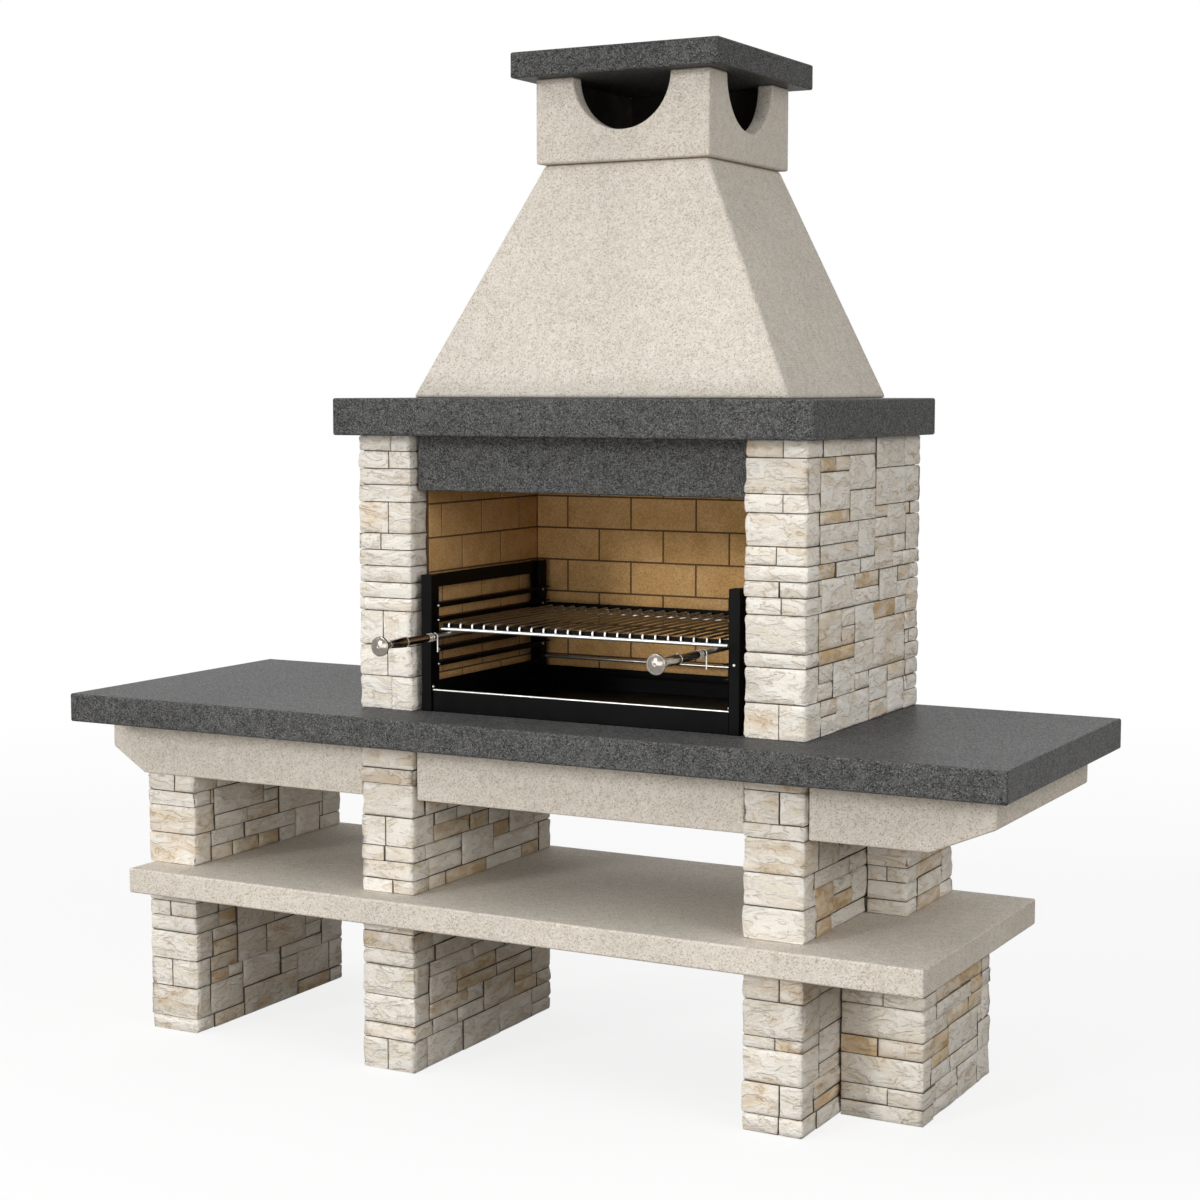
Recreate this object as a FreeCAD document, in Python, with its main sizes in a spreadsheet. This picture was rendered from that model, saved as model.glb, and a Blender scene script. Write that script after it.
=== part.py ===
"""A masonry barbecue: stone legs, concrete slabs, a brick-lined firebox, a chimney and a grill."""
import FreeCAD, Part
import Sketcher
import math
import os
import re

# Driving dimensions: alias, value in millimetres, what it measures
SIZES = (
    # Places of the main parts in the frame: origin on the floor, +X to the right, +Y to the back
    ("pier_front", -229, "front plane of the piers, along Y"),
    ("firebox_centre", 135, "middle of the firebox, along X"),
    # Worktop
    ("worktop_length", 2350, "length along X"),
    ("worktop_depth", 800, "depth along Y"),
    ("worktop_thickness", 68, "thickness of the slab"),
    ("worktop_height", 850, "floor to the top of the slab"),
    ("worktop_overhang", 135, "front edge in front of the piers"),
    ("slab_edge_radius", 5, "rounding of every cast slab"),
    # Legs
    ("pier_width", 150, "width of a leg and of a pier"),
    ("leg_depth", 645, "pier front plane to the back of the legs"),
    ("left_leg_inset", 100, "left end of the worktop to the left leg"),
    ("left_leg_setback", 20, "left leg behind the pier front plane"),
    ("end_lower_width", 196, "lower block of the right end leg, along X"),
    ("end_lower_setback", 197, "its front behind the pier front plane"),
    ("end_upper_width", 100, "upper block of the right end leg, along X"),
    ("end_upper_setback", 341, "its front behind the pier front plane"),
    ("course_height", 60, "aim for the height of a stone course"),
    ("course_setback", 4, "every other course is this much further in"),
    # Shelf
    ("shelf_top", 420, "floor to the top of the shelf"),
    ("shelf_thickness", 60, "thickness of the slab"),
    ("shelf_inset", 15, "left end of the shelf behind the left leg's outer face"),
    ("shelf_overhang_front", 68, "front edge in front of the piers"),
    ("shelf_overhang_right", 92, "right end past the right end leg"),
    ("shelf_depth", 733, "depth along Y"),
    # Beams under the worktop
    ("beam_height", 140, "height of a beam"),
    ("beam_width", 100, "width of a beam"),
    ("beam_setback", 15, "front of the beams behind the pier front plane"),
    ("beam_end_height", 80, "upright part of a beam's free end"),
    ("left_beam_inset", 5, "left end of the worktop to the beam's end"),
    ("right_beam_inset", 70, "right end of the worktop to the beam's end"),
    ("left_beam_slope", 95, "run of the sloped underside at the left end"),
    ("right_beam_slope", 142, "run of the sloped underside at the right end"),
    ("beam_land", 20, "flat underside behind the slope of an end beam"),
    # Firebox
    ("firebox_width", 1124, "over the outer faces of the piers"),
    ("firebox_depth", 665, "pier front plane to the back of the firebox"),
    ("firebox_height", 628, "worktop to the underside of the mantel"),
    ("jamb_depth", 75, "stone return of a pier, along Y"),
    ("rear_wall", 65, "thickness of the rear wall"),
    ("brick_thickness", 30, "thickness of the brick lining"),
    ("brick_length", 176, "brick and joint, along a course"),
    ("brick_height", 78, "aim for the height of a brick course"),
    ("brick_joint", 2, "open joint between bricks"),
    ("lintel_height", 125, "height of the lintel"),
    ("lintel_depth", 60, "depth of the lintel"),
    ("lintel_setback", 28, "lintel behind the pier front plane"),
    # Mantel, hood, crown and cap
    ("mantel_thickness", 84, "thickness of the slab"),
    ("mantel_overhang", 30, "past the outer faces of the piers"),
    ("mantel_overhang_front", 48, "in front of the piers"),
    ("throat_ledge", 60, "mantel showing inside the foot of the hood"),
    ("hood_base_width", 946, "foot of the hood, along X"),
    ("hood_setback", 101, "foot of the hood behind the pier front plane"),
    ("hood_height", 530, "height of the hood"),
    ("hood_top_width", 412, "top of the hood, along X"),
    ("hood_top_depth", 397, "top of the hood, along Y"),
    ("hood_wall", 40, "wall of the hood, measured level"),
    ("flue_setback", 450, "middle of the flue behind the pier front plane"),
    ("crown_width", 438, "crown, along X"),
    ("crown_depth", 430, "crown, along Y"),
    ("crown_height", 191, "height of the crown"),
    ("crown_wall", 40, "wall of the crown"),
    ("outlet_radius", 122, "radius of a smoke outlet"),
    ("outlet_recess", 24, "depth of the blind outlet in the crown's left wall"),
    ("cap_width", 523, "cap, along X"),
    ("cap_depth", 518, "cap, along Y"),
    ("cap_thickness", 58, "thickness of the cap"),
    # Steel cradle
    ("cradle_gap", 12, "post to the brick lining"),
    ("cradle_setback", 20, "front of the posts behind the pier front plane"),
    ("cradle_depth", 528, "front of the front posts to the back of the rear ones"),
    ("post_width", 28, "tube of a post, across"),
    ("post_depth", 34, "tube of a post, front to back"),
    ("post_wall", 2, "wall of that tube and of its closed top"),
    ("post_height", 312, "height of a post"),
    ("top_rail_height", 30, "height of a top rail"),
    ("top_rail_thickness", 8, "thickness of a top rail"),
    ("rail_flange", 20, "level leg of a grill rail's angle"),
    ("rail_height", 14, "hanging leg of a grill rail's angle"),
    ("rail_thickness", 3, "thickness of that angle"),
    ("rail_pitch", 33.5, "step between two grill levels"),
    ("grill_level", 183, "worktop to the rail that the grill lies on"),
    ("plate_thickness", 3, "sheet of the fender plates"),
    ("front_plate_height", 47, "height of the front plate"),
    ("side_plate_height", 70, "height of a side plate"),
    ("rear_plate_height", 52, "height of the rear plate"),
    ("front_rod_diameter", 5, "diameter of the front tie rod"),
    ("rear_rod_diameter", 8, "diameter of the rear tie rod"),
    ("tie_rod_inset", 6, "middle of a tie rod inside the outer faces of the posts"),
    ("rear_rod_height", 74, "worktop to the middle of the rear tie rod"),
    ("screw_head_diameter", 8, "diameter of a screw head"),
    ("screw_head_height", 3, "height of a screw head"),
    ("post_screw_height", 150, "worktop to the screw on the front of the right front post"),
    # Ember tray
    ("tray_gap", 9, "tray to the grill rails"),
    ("tray_end_gap", 20, "tray to the end plates"),
    ("tray_height", 36, "height of the tray"),
    ("tray_sheet", 3, "sheet of the tray"),
    ("rest_gap", 0.5, "gap under what lies loose"),
    # Grill
    ("grill_gap", 12, "end of a grill rod to the post"),
    ("grill_rod_diameter", 9, "front and rear rod"),
    ("grill_front_inset", 8, "front rod behind the front of the rails"),
    ("grill_rear_inset", 8, "rear rod in front of the back of the rails"),
    ("side_bar_diameter", 11, "side bars, which run on into the handles"),
    ("side_bar_inset", 25, "middle of a side bar to the end of the grill rods"),
    ("wire_diameter", 5, "wires of the grill"),
    ("wire_spacing", 31, "middle to middle of two wires"),
    ("wire_rise", 10, "middle of the wires over the top of the rods"),
    ("wire_bend", 6, "bend of a wire's end, at the middle of the wire"),
    ("grill_bar_thickness", 4, "flat bars along the front and rear rod"),
    ("rear_bar_height", 18, "height of the rear bar, which stands higher than the wires"),
    # Handles
    ("handle_reach", 251, "knob's front in front of the pier front plane"),
    ("knob_radius", 22, "rim of the knob's disc"),
    ("knob_length", 41, "front of the knob to the sleeve"),
    ("knob_dome", 6, "front of the knob to its rim"),
    ("knob_rim", 4, "width of the rim"),
    ("sleeve_length", 180, "length of a handle sleeve"),
    ("sleeve_neck_radius", 8, "sleeve at the knob"),
    ("sleeve_grip_radius", 12.5, "widest part of the sleeve"),
    ("sleeve_grip_length", 66, "knob to the widest part"),
    ("sleeve_taper_length", 14, "widest part to the plain tube"),
    ("sleeve_tube_radius", 9, "plain tube of the sleeve"),
    ("sleeve_bore_depth", 60, "how far the side bar goes in"),
    ("bore_clearance", 0.2, "side bar to the bore of the sleeve, on the radius"),
    ("clip_wire_diameter", 3.5, "wire of the clip"),
    ("clip_gap", 6, "clip behind the sleeve"),
    ("clip_drop", 34, "hanging leg of the clip"),
)

# Grill levels, counted in rail pitches from the rail that the grill lies on
RAIL_STEPS = (2, 1, 0, -1, -2)

# Heights and places that several pieces share, written with the cells' names
WORKTOP_LEFT = "(-worktop_length / 2)"
WORKTOP_BOTTOM = "(worktop_height - worktop_thickness)"
WORKTOP_BACK = "(pier_front - worktop_overhang + worktop_depth)"
SHELF_BOTTOM = "(shelf_top - shelf_thickness)"
BEAM_BOTTOM = "(worktop_height - worktop_thickness - beam_height)"
BEAM_FRONT = "(pier_front + beam_setback)"
BEAM_BACK = f"({WORKTOP_BACK} - beam_setback)"
LEFT_LEG = f"({WORKTOP_LEFT} + left_leg_inset)"
HALF_FIREBOX = "(firebox_width / 2)"
HALF_OPENING = "(firebox_width / 2 - pier_width)"
FIREBOX_LEFT = f"(firebox_centre - {HALF_FIREBOX})"
FIREBOX_RIGHT = f"(firebox_centre + {HALF_FIREBOX})"
FIREBOX_BACK = "(pier_front + firebox_depth)"
LINING_FRONT = "(pier_front + jamb_depth)"
LINING_BACK = f"({FIREBOX_BACK} - rear_wall - brick_thickness)"
MANTEL_BOTTOM = "(worktop_height + firebox_height)"
HOOD_BOTTOM = f"({MANTEL_BOTTOM} + mantel_thickness)"
CROWN_BOTTOM = f"({HOOD_BOTTOM} + hood_height)"
CAP_BOTTOM = f"({CROWN_BOTTOM} + crown_height)"
FLUE_MIDDLE = "(pier_front + flue_setback)"
POST_FRONT = "(pier_front + cradle_setback)"
POST_BACK = f"({POST_FRONT} + cradle_depth)"
POST_OUTER = f"({HALF_OPENING} - cradle_gap)"
POST_INNER = f"({POST_OUTER} - post_width)"
RAIL_FRONT = f"({POST_FRONT} + post_depth / 2)"
RAIL_BACK = f"({POST_BACK} - post_depth / 2)"
GRILL_SEAT = "(worktop_height + grill_level)"
GRILL_ROD_END = f"({POST_INNER} - grill_gap)"
GRILL_ROD_Z = f"({GRILL_SEAT} + rest_gap + grill_rod_diameter / 2)"
GRILL_FRONT = f"({RAIL_FRONT} + grill_front_inset)"
GRILL_REAR = f"({RAIL_BACK} - grill_rear_inset)"
SIDE_BAR_X = f"({GRILL_ROD_END} - side_bar_inset)"
SIDE_BAR_Z = f"({GRILL_ROD_Z} - grill_rod_diameter / 2 - side_bar_diameter / 2)"
KNOB_FRONT = "(pier_front - handle_reach)"
SLEEVE_FRONT = f"({KNOB_FRONT} + knob_length)"
SLEEVE_BACK = f"({SLEEVE_FRONT} + sleeve_length)"
SIDE_BAR_FRONT = f"({SLEEVE_BACK} - sleeve_bore_depth)"

ALONG_X = FreeCAD.Rotation(FreeCAD.Vector(0, 1, 0), 90)
ALONG_Y = FreeCAD.Rotation(FreeCAD.Vector(1, 0, 0), -90)
SIDES = ("left", "right")
ALL_ROUND = ("-x", "+x", "-y", "+y")

doc = FreeCAD.newDocument("masonry_barbecue")
sheet = doc.addObject("Spreadsheet::Sheet", "Sizes")
nodes = []


def fill_sheet():
    """Writes every driving dimension with its alias and meaning into the sheet."""
    for row, (alias, value, meaning) in enumerate(SIZES, start=1):
        sheet.set(f"A{row}", meaning)
        sheet.set(f"B{row}", str(value))
        sheet.setAlias(f"B{row}", alias)
    doc.recompute()


def cells(text):
    """Puts the sheet's name before each cell's name in an expression."""
    return re.sub(r"[a-z][a-z_]+", lambda found: f"Sizes.{found.group()}", text)


def number(text):
    """Value of an expression that is written with the cells' names."""
    return float(doc.Sizes.evalExpression(text))


def bind(thing, **expressions):
    """Ties properties of an object to expressions."""
    for name, text in expressions.items():
        thing.setExpression(name, cells(text))


def place(thing, corner, rotation=FreeCAD.Rotation()):
    """Turns an object and ties its place to three expressions."""
    thing.Placement = FreeCAD.Placement(FreeCAD.Vector(), rotation)
    for axis, text in zip("xyz", corner):
        thing.setExpression(f"Placement.Base.{axis}", cells(text))


def node(thing, label):
    """Names an object as a finished piece."""
    thing.Label = label
    nodes.append(thing)
    return thing


def across(side, near, far):
    """Lower X of a span between two distances from the firebox's middle, on either side."""
    if side == "left":
        return f"firebox_centre - ({far})"
    return f"firebox_centre + ({near})"


def block(name, corner, size):
    """A box from its lower corner and its three sizes."""
    box = doc.addObject("Part::Box", name)
    bind(box, Length=size[0], Width=size[1], Height=size[2])
    place(box, corner)
    return box


def rod(name, start, length, diameter, rotation):
    """A round bar from the middle of one end."""
    bar = doc.addObject("Part::Cylinder", name)
    bind(bar, Radius=f"({diameter}) / 2", Height=length)
    place(bar, start, rotation)
    return bar


def cut(name, base, tool):
    """One object less another."""
    result = doc.addObject("Part::Cut", name)
    result.Base = base
    result.Tool = tool
    return result


def piece(make, label, *sizes):
    """A node made by one call, named alike."""
    return node(make(label, *sizes), label)


def group(label, things):
    """Separate solids that share one node."""
    gathered = doc.addObject("Part::Compound", label)
    gathered.Links = things
    return node(gathered, label)


def stone_stack(label, corner, size, set_in):
    """Stone courses bedded on each other; every other one is set in on the sides named in set_in."""
    count = max(1, round(number(size[2]) / number("course_height")))
    courses = []
    for index in range(count):
        step = "course_setback" if index % 2 else "0"
        low_x, high_x, low_y, high_y = (step if side in set_in else "0" for side in ALL_ROUND)
        height = f"({size[2]}) / {count}"
        low = (f"{corner[0]} + {low_x}", f"{corner[1]} + {low_y}", f"{corner[2]} + {index} * {height}")
        extent = (f"{size[0]} - {low_x} - {high_x}", f"{size[1]} - {low_y} - {high_y}", height)
        courses.append(block(f"{label}_course", low, extent))
    return group(label, courses)


def brick_edges(run, first):
    """Start of each brick along a course, then the end of the course."""
    edges = ["0"]
    place_along = first
    while number(place_along) < number(f"{run} - brick_joint"):
        edges.append(place_along)
        place_along = f"{place_along} + brick_length"
    return edges + [run]


def brick_wall(label, corner, run, along_y):
    """Brick courses in half bond with open joints, along X or along Y from the rear corner forwards."""
    count = max(1, round(number("firebox_height") / number("brick_height")))
    pitch = f"firebox_height / {count}"
    bricks = []
    for course in range(count):
        edges = brick_edges(run, "brick_length / 2" if course % 2 else "brick_length")
        height = pitch if course == count - 1 else f"{pitch} - brick_joint"
        for start, end in zip(edges, edges[1:]):
            joint = "0" if end == run else "brick_joint"
            length = f"({end}) - ({start}) - {joint}"
            low_z = f"{corner[2]} + {course} * {pitch}"
            if along_y:
                low = (corner[0], f"{corner[1]} - ({end}) + {joint}", low_z)
                bricks.append(block(f"{label}_brick", low, ("brick_thickness", length, height)))
            else:
                low = (f"{corner[0]} + ({start})", corner[1], low_z)
                bricks.append(block(f"{label}_brick", low, (length, "brick_thickness", height)))
    return group(label, bricks)


def new_body(label, corner):
    """A body with its own place."""
    body = doc.addObject("PartDesign::Body", label)
    place(body, corner)
    return node(body, label)


def outline(body, plane, points):
    """A closed sketch of straight lines on one of the body's planes, each corner tied to two expressions."""
    sketch = body.newObject("Sketcher::SketchObject", f"{body.Name}_outline")
    support = next(item for item in body.Origin.OriginFeatures if item.Role == plane)
    sketch.AttachmentSupport = [(support, "")]
    sketch.MapMode = "FlatFace"
    corners = [FreeCAD.Vector(number(across_text), number(up_text), 0) for across_text, up_text in points]
    for start, end in zip(corners, corners[1:] + corners[:1]):
        sketch.addGeometry(Part.LineSegment(start, end))
    for index, texts in enumerate(points):
        previous = (index - 1) % len(points)
        sketch.addConstraint(Sketcher.Constraint("Coincident", previous, 2, index, 1))
        for kind, axis, text in (("DistanceX", -2, texts[0]), ("DistanceY", -1, texts[1])):
            if text == "0":
                sketch.addConstraint(Sketcher.Constraint("PointOnObject", index, 1, axis))
            else:
                tie = sketch.addConstraint(Sketcher.Constraint(kind, -1, 1, index, 1, number(text)))
                sketch.setExpression(f"Constraints[{tie}]", cells(text))
    return sketch


def pad(body, sketch, length, backwards=False):
    """Pads a sketch along its plane's normal, or the other way."""
    feature = body.newObject("PartDesign::Pad", f"{body.Name}_pad")
    feature.Profile = sketch
    feature.Reversed = backwards
    bind(feature, Length=length)
    return feature


def rectangle(length, width):
    """Corners of a rectangle from the origin."""
    return [("0", "0"), (length, "0"), (length, width), ("0", width)]


def soften(body, feature):
    """Rounds every edge of a cast slab."""
    doc.recompute()
    fillet = body.newObject("PartDesign::Fillet", f"{body.Name}_edges")
    fillet.Base = (feature, [f"Edge{index + 1}" for index in range(len(feature.Shape.Edges))])
    bind(fillet, Radius="slab_edge_radius")


def slab(label, corner, size):
    """A cast slab with softly rounded edges."""
    body = new_body(label, corner)
    sketch = outline(body, "XY_Plane", rectangle(size[0], size[1]))
    soften(body, pad(body, sketch, size[2]))
    return body


def build_legs():
    """Stone legs below and above the shelf."""
    to_beam = f"{BEAM_BOTTOM} - shelf_top"
    to_worktop = f"{WORKTOP_BOTTOM} - shelf_top"
    free_sides = ("+x", "-y", "+y")
    right_leg = f"{FIREBOX_RIGHT} - pier_width"
    legs = (
        ("left", LEFT_LEG, "left_leg_setback", to_beam),
        ("middle", FIREBOX_LEFT, "0", to_worktop),
        ("right", right_leg, "0", to_worktop),
    )
    for name, low_x, setback, upper_height in legs:
        front = f"pier_front + {setback}"
        depth = f"leg_depth - {setback}"
        lower_size = ("pier_width", depth, SHELF_BOTTOM)
        upper_size = ("pier_width", depth, upper_height)
        stone_stack(f"{name}_leg_lower", (low_x, front, "0"), lower_size, ALL_ROUND)
        stone_stack(f"{name}_leg_upper", (low_x, front, "shelf_top"), upper_size, ALL_ROUND)
    stone_stack("right_end_leg_lower", (FIREBOX_RIGHT, "pier_front + end_lower_setback", "0"),
                ("end_lower_width", "leg_depth - end_lower_setback", SHELF_BOTTOM), free_sides)
    stone_stack("right_end_leg_upper", (FIREBOX_RIGHT, "pier_front + end_upper_setback", "shelf_top"),
                ("end_upper_width", "leg_depth - end_upper_setback", to_beam), free_sides)


def build_shelf_and_worktop():
    """The two long slabs."""
    shelf_left = f"{LEFT_LEG} + shelf_inset"
    shelf_right = f"{FIREBOX_RIGHT} + end_lower_width + shelf_overhang_right"
    slab("shelf_slab", (shelf_left, "pier_front - shelf_overhang_front", SHELF_BOTTOM),
         (f"{shelf_right} - ({shelf_left})", "shelf_depth", "shelf_thickness"))
    slab("worktop_slab", (WORKTOP_LEFT, "pier_front - worktop_overhang", WORKTOP_BOTTOM),
         ("worktop_length", "worktop_depth", "worktop_thickness"))


def beam(label, corner, profile, width):
    """A beam of constant profile, padded towards the back."""
    body = new_body(label, corner)
    pad(body, outline(body, "XZ_Plane", profile), width, backwards=True)


def build_beams():
    """Concrete beams between the legs and the worktop, with sloped free ends."""
    left_end = f"{WORKTOP_LEFT} + left_beam_inset"
    right_end = "worktop_length / 2 - right_beam_inset"
    left_length = f"{FIREBOX_LEFT} - ({left_end})"
    right_length = f"{right_end} - {FIREBOX_RIGHT}"
    slope_top = "beam_height - beam_end_height"
    left_width = "left_beam_slope + beam_land"
    right_width = "right_beam_slope + beam_land"
    between = f"{BEAM_BACK} - {BEAM_FRONT} - 2 * beam_width"
    rear_y = f"{BEAM_BACK} - beam_width"
    inner_y = f"{BEAM_FRONT} + beam_width"

    right_start = f"{right_end} - ({right_width})"

    def sloped_left(length):
        """Profile of a beam whose left end is free."""
        foot = [("0", slope_top), ("left_beam_slope", "0"), (length, "0")]
        return foot + [(length, "beam_height"), ("0", "beam_height")]

    def sloped_right(length):
        """Profile of a beam whose right end is free."""
        foot = [("0", "0"), (f"{length} - right_beam_slope", "0"), (length, slope_top)]
        return foot + [(length, "beam_height"), ("0", "beam_height")]

    for name, low_y in (("front", BEAM_FRONT), ("rear", rear_y)):
        left_corner = (left_end, low_y, BEAM_BOTTOM)
        centre_corner = (f"{FIREBOX_LEFT} + pier_width", low_y, BEAM_BOTTOM)
        right_corner = (FIREBOX_RIGHT, low_y, BEAM_BOTTOM)
        centre_size = (f"2 * {HALF_OPENING}", "beam_width", "beam_height")
        beam(f"left_{name}_beam", left_corner, sloped_left(left_length), "beam_width")
        piece(block, f"centre_{name}_beam", centre_corner, centre_size)
        beam(f"right_{name}_beam", right_corner, sloped_right(right_length), "beam_width")
    beam("left_end_beam", (left_end, inner_y, BEAM_BOTTOM), sloped_left(left_width), between)
    beam("right_end_beam", (right_start, inner_y, BEAM_BOTTOM), sloped_right(right_width), between)


def build_firebox():
    """Stone piers and walls, the brick lining, the lintel and the rear wall."""
    wall = "pier_width - brick_thickness"
    for side in SIDES:
        outer = "-x" if side == "left" else "+x"
        jamb_x = across(side, HALF_OPENING, HALF_FIREBOX)
        wall_x = across(side, f"{HALF_OPENING} + brick_thickness", HALF_FIREBOX)
        lining_x = across(side, HALF_OPENING, f"{HALF_OPENING} + brick_thickness")
        stone_stack(f"{side}_jamb", (jamb_x, "pier_front", "worktop_height"),
                    ("pier_width", "jamb_depth", "firebox_height"), (outer, "-y"))
        stone_stack(f"{side}_side_wall", (wall_x, LINING_FRONT, "worktop_height"),
                    (wall, "firebox_depth - jamb_depth", "firebox_height"), (outer, "+y"))
        brick_wall(f"{side}_brick_lining", (lining_x, LINING_BACK, "worktop_height"),
                   f"{LINING_BACK} - {LINING_FRONT}", along_y=True)
    brick_wall("rear_brick_lining", (across("left", "0", HALF_OPENING), LINING_BACK, "worktop_height"),
               f"2 * {HALF_OPENING}", along_y=False)
    half_rear = f"({HALF_OPENING} + brick_thickness)"
    rear_corner = (across("left", "0", half_rear), f"{FIREBOX_BACK} - rear_wall", "worktop_height")
    piece(block, "rear_wall", rear_corner, (f"2 * {half_rear}", "rear_wall", "firebox_height"))
    lintel_bottom = f"{MANTEL_BOTTOM} - lintel_height"
    slab("lintel", (across("left", "0", HALF_OPENING), "pier_front + lintel_setback", lintel_bottom),
         (f"2 * {HALF_OPENING}", "lintel_depth", "lintel_height"))


def build_mantel():
    """The slab on the firebox, with the throat that lets the smoke into the hood."""
    corner = (f"{FIREBOX_LEFT} - mantel_overhang", "pier_front - mantel_overhang_front", MANTEL_BOTTOM)
    length = "firebox_width + 2 * mantel_overhang"
    width = "firebox_depth + mantel_overhang_front"
    rim = "hood_wall + throat_ledge"
    side = f"(firebox_width - hood_base_width) / 2 + mantel_overhang + {rim}"
    front = f"mantel_overhang_front + hood_setback + {rim}"
    body = new_body("mantel_slab", corner)
    slab_pad = pad(body, outline(body, "XY_Plane", rectangle(length, width)), "mantel_thickness")
    far_side = f"{length} - ({side})"
    back = f"{width} - ({rim})"
    throat = outline(body, "XY_Plane", [(side, front), (far_side, front), (far_side, back), (side, back)])
    pocket = body.newObject("PartDesign::Pocket", "throat_pocket")
    pocket.Profile = throat
    pocket.Type = "ThroughAll"
    pocket.Reversed = True
    doc.recompute()
    if pocket.Shape.Volume >= slab_pad.Shape.Volume:
        raise RuntimeError("the throat cuts nothing from the mantel")
    soften(body, pocket)


def frustum(name, margin):
    """The hood's outer form, or its inside when a margin is taken off all round."""
    wedge = doc.addObject("Part::Wedge", name)
    base_half = f"hood_base_width / 2 - {margin}"
    top_half = f"hood_top_width / 2 - {margin}"
    bind(
        wedge,
        Xmin=f"-({base_half})", Xmax=base_half, X2min=f"-({top_half})", X2max=top_half,
        Ymin="0", Ymax="hood_height",
        Zmin=f"-({FIREBOX_BACK} - {margin})", Zmax=f"-(pier_front + hood_setback + {margin})",
        Z2min=f"-({FLUE_MIDDLE} + hood_top_depth / 2 - {margin})",
        Z2max=f"-({FLUE_MIDDLE} - hood_top_depth / 2 + {margin})",
    )
    place(wedge, ("firebox_centre", "0", HOOD_BOTTOM), FreeCAD.Rotation(FreeCAD.Vector(1, 0, 0), 90))
    return wedge


def build_chimney():
    """The hollow hood, the crown with two half-round outlets and a blind one, and the cap."""
    piece(cut, "chimney_hood", frustum("hood_outside", "0"), frustum("hood_inside", "hood_wall"))
    left = "firebox_centre - crown_width / 2"
    front = f"{FLUE_MIDDLE} - crown_depth / 2"
    outlet = "2 * outlet_radius"
    size = ("crown_width", "crown_depth", "crown_height")
    hollow = ("crown_width - 2 * crown_wall", "crown_depth - 2 * crown_wall", "crown_height")
    outside = block("crown_outside", (left, front, CROWN_BOTTOM), size)
    inside = block("crown_inside", (f"{left} + crown_wall", f"{front} + crown_wall", CROWN_BOTTOM), hollow)
    shell = cut("crown_shell", outside, inside)
    flue_middle = ("firebox_centre", FLUE_MIDDLE, CAP_BOTTOM)
    front_middle = ("firebox_centre", front, CAP_BOTTOM)
    front_outlet = rod("front_outlet", front_middle, "crown_depth / 2", outlet, ALONG_Y)
    right_outlet = rod("right_outlet", flue_middle, "crown_width / 2", outlet, ALONG_X)
    left_recess = rod("left_recess", (left, FLUE_MIDDLE, CAP_BOTTOM), "outlet_recess", outlet, ALONG_X)
    open_front = cut("crown_open_front", shell, front_outlet)
    open_right = cut("crown_open_right", open_front, right_outlet)
    piece(cut, "chimney_crown", open_right, left_recess)
    slab("chimney_cap", ("firebox_centre - cap_width / 2", f"{FLUE_MIDDLE} - cap_depth / 2", CAP_BOTTOM),
         ("cap_width", "cap_depth", "cap_thickness"))


def build_posts():
    """Four rectangular tubes with closed tops."""
    size = ("post_width", "post_depth", "post_height")
    bore_size = ("post_width - 2 * post_wall", "post_depth - 2 * post_wall", "post_height - post_wall")
    for side in SIDES:
        low_x = across(side, POST_INNER, POST_OUTER)
        for end, low_y in (("front", POST_FRONT), ("rear", f"{POST_BACK} - post_depth")):
            label = f"{side}_{end}_post"
            bore_corner = (f"{low_x} + post_wall", f"{low_y} + post_wall", "worktop_height")
            tube = block(f"{label}_tube", (low_x, low_y, "worktop_height"), size)
            piece(cut, label, tube, block(f"{label}_bore", bore_corner, bore_size))


def grill_rail(side, step):
    """One angle that a grill can lie on: its level leg is on top and points into the firebox."""
    body = doc.addObject("PartDesign::Body", f"{side}_rail")
    if side == "left":
        wall, inner, edge = "0", "rail_thickness", "rail_flange"
    else:
        wall, inner, edge = "rail_flange", "rail_flange - rail_thickness", "0"
    under = "rail_height - rail_thickness"
    hanging = [(wall, "0"), (wall, "rail_height")]
    level = [(edge, "rail_height"), (edge, under), (inner, under), (inner, "0")]
    pad(body, outline(body, "XZ_Plane", hanging + level), f"{RAIL_BACK} - {RAIL_FRONT}", backwards=True)
    low_z = f"{GRILL_SEAT} + {step} * rail_pitch - rail_height"
    place(body, (across(side, f"{POST_INNER} - rail_flange", POST_INNER), RAIL_FRONT, low_z))
    return body


def build_screws():
    """Screw heads at the rails' ends, over the ends of the front tie rod and on the right front post."""
    rail_face = f"{POST_INNER} - rail_thickness"
    tie_z = "worktop_height + front_plate_height + front_rod_diameter + 0.6 * screw_head_diameter"
    heads = []
    for side in SIDES:
        rail_x = across(side, f"{rail_face} - screw_head_height", rail_face)
        for step in RAIL_STEPS:
            rail_z = f"{GRILL_SEAT} + {step} * rail_pitch - (rail_height + rail_thickness) / 2"
            for rail_y in (f"{RAIL_FRONT} + post_depth / 4", f"{RAIL_BACK} - post_depth / 4"):
                heads.append((rail_x, rail_y, rail_z, ALONG_X))
        tie_x = across(side, f"{POST_INNER} - screw_head_height", POST_INNER)
        heads.append((tie_x, f"{POST_FRONT} + tie_rod_inset", tie_z, ALONG_X))
    post_x = across("right", f"{POST_INNER} + post_width / 2", POST_OUTER)
    heads.append((post_x, f"{POST_FRONT} - screw_head_height", "worktop_height + post_screw_height", ALONG_Y))
    screws = []
    for x, y, z, direction in heads:
        screws.append(rod("screw_head", (x, y, z), "screw_head_height", "screw_head_diameter", direction))
    group("cradle_screws", screws)


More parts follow.
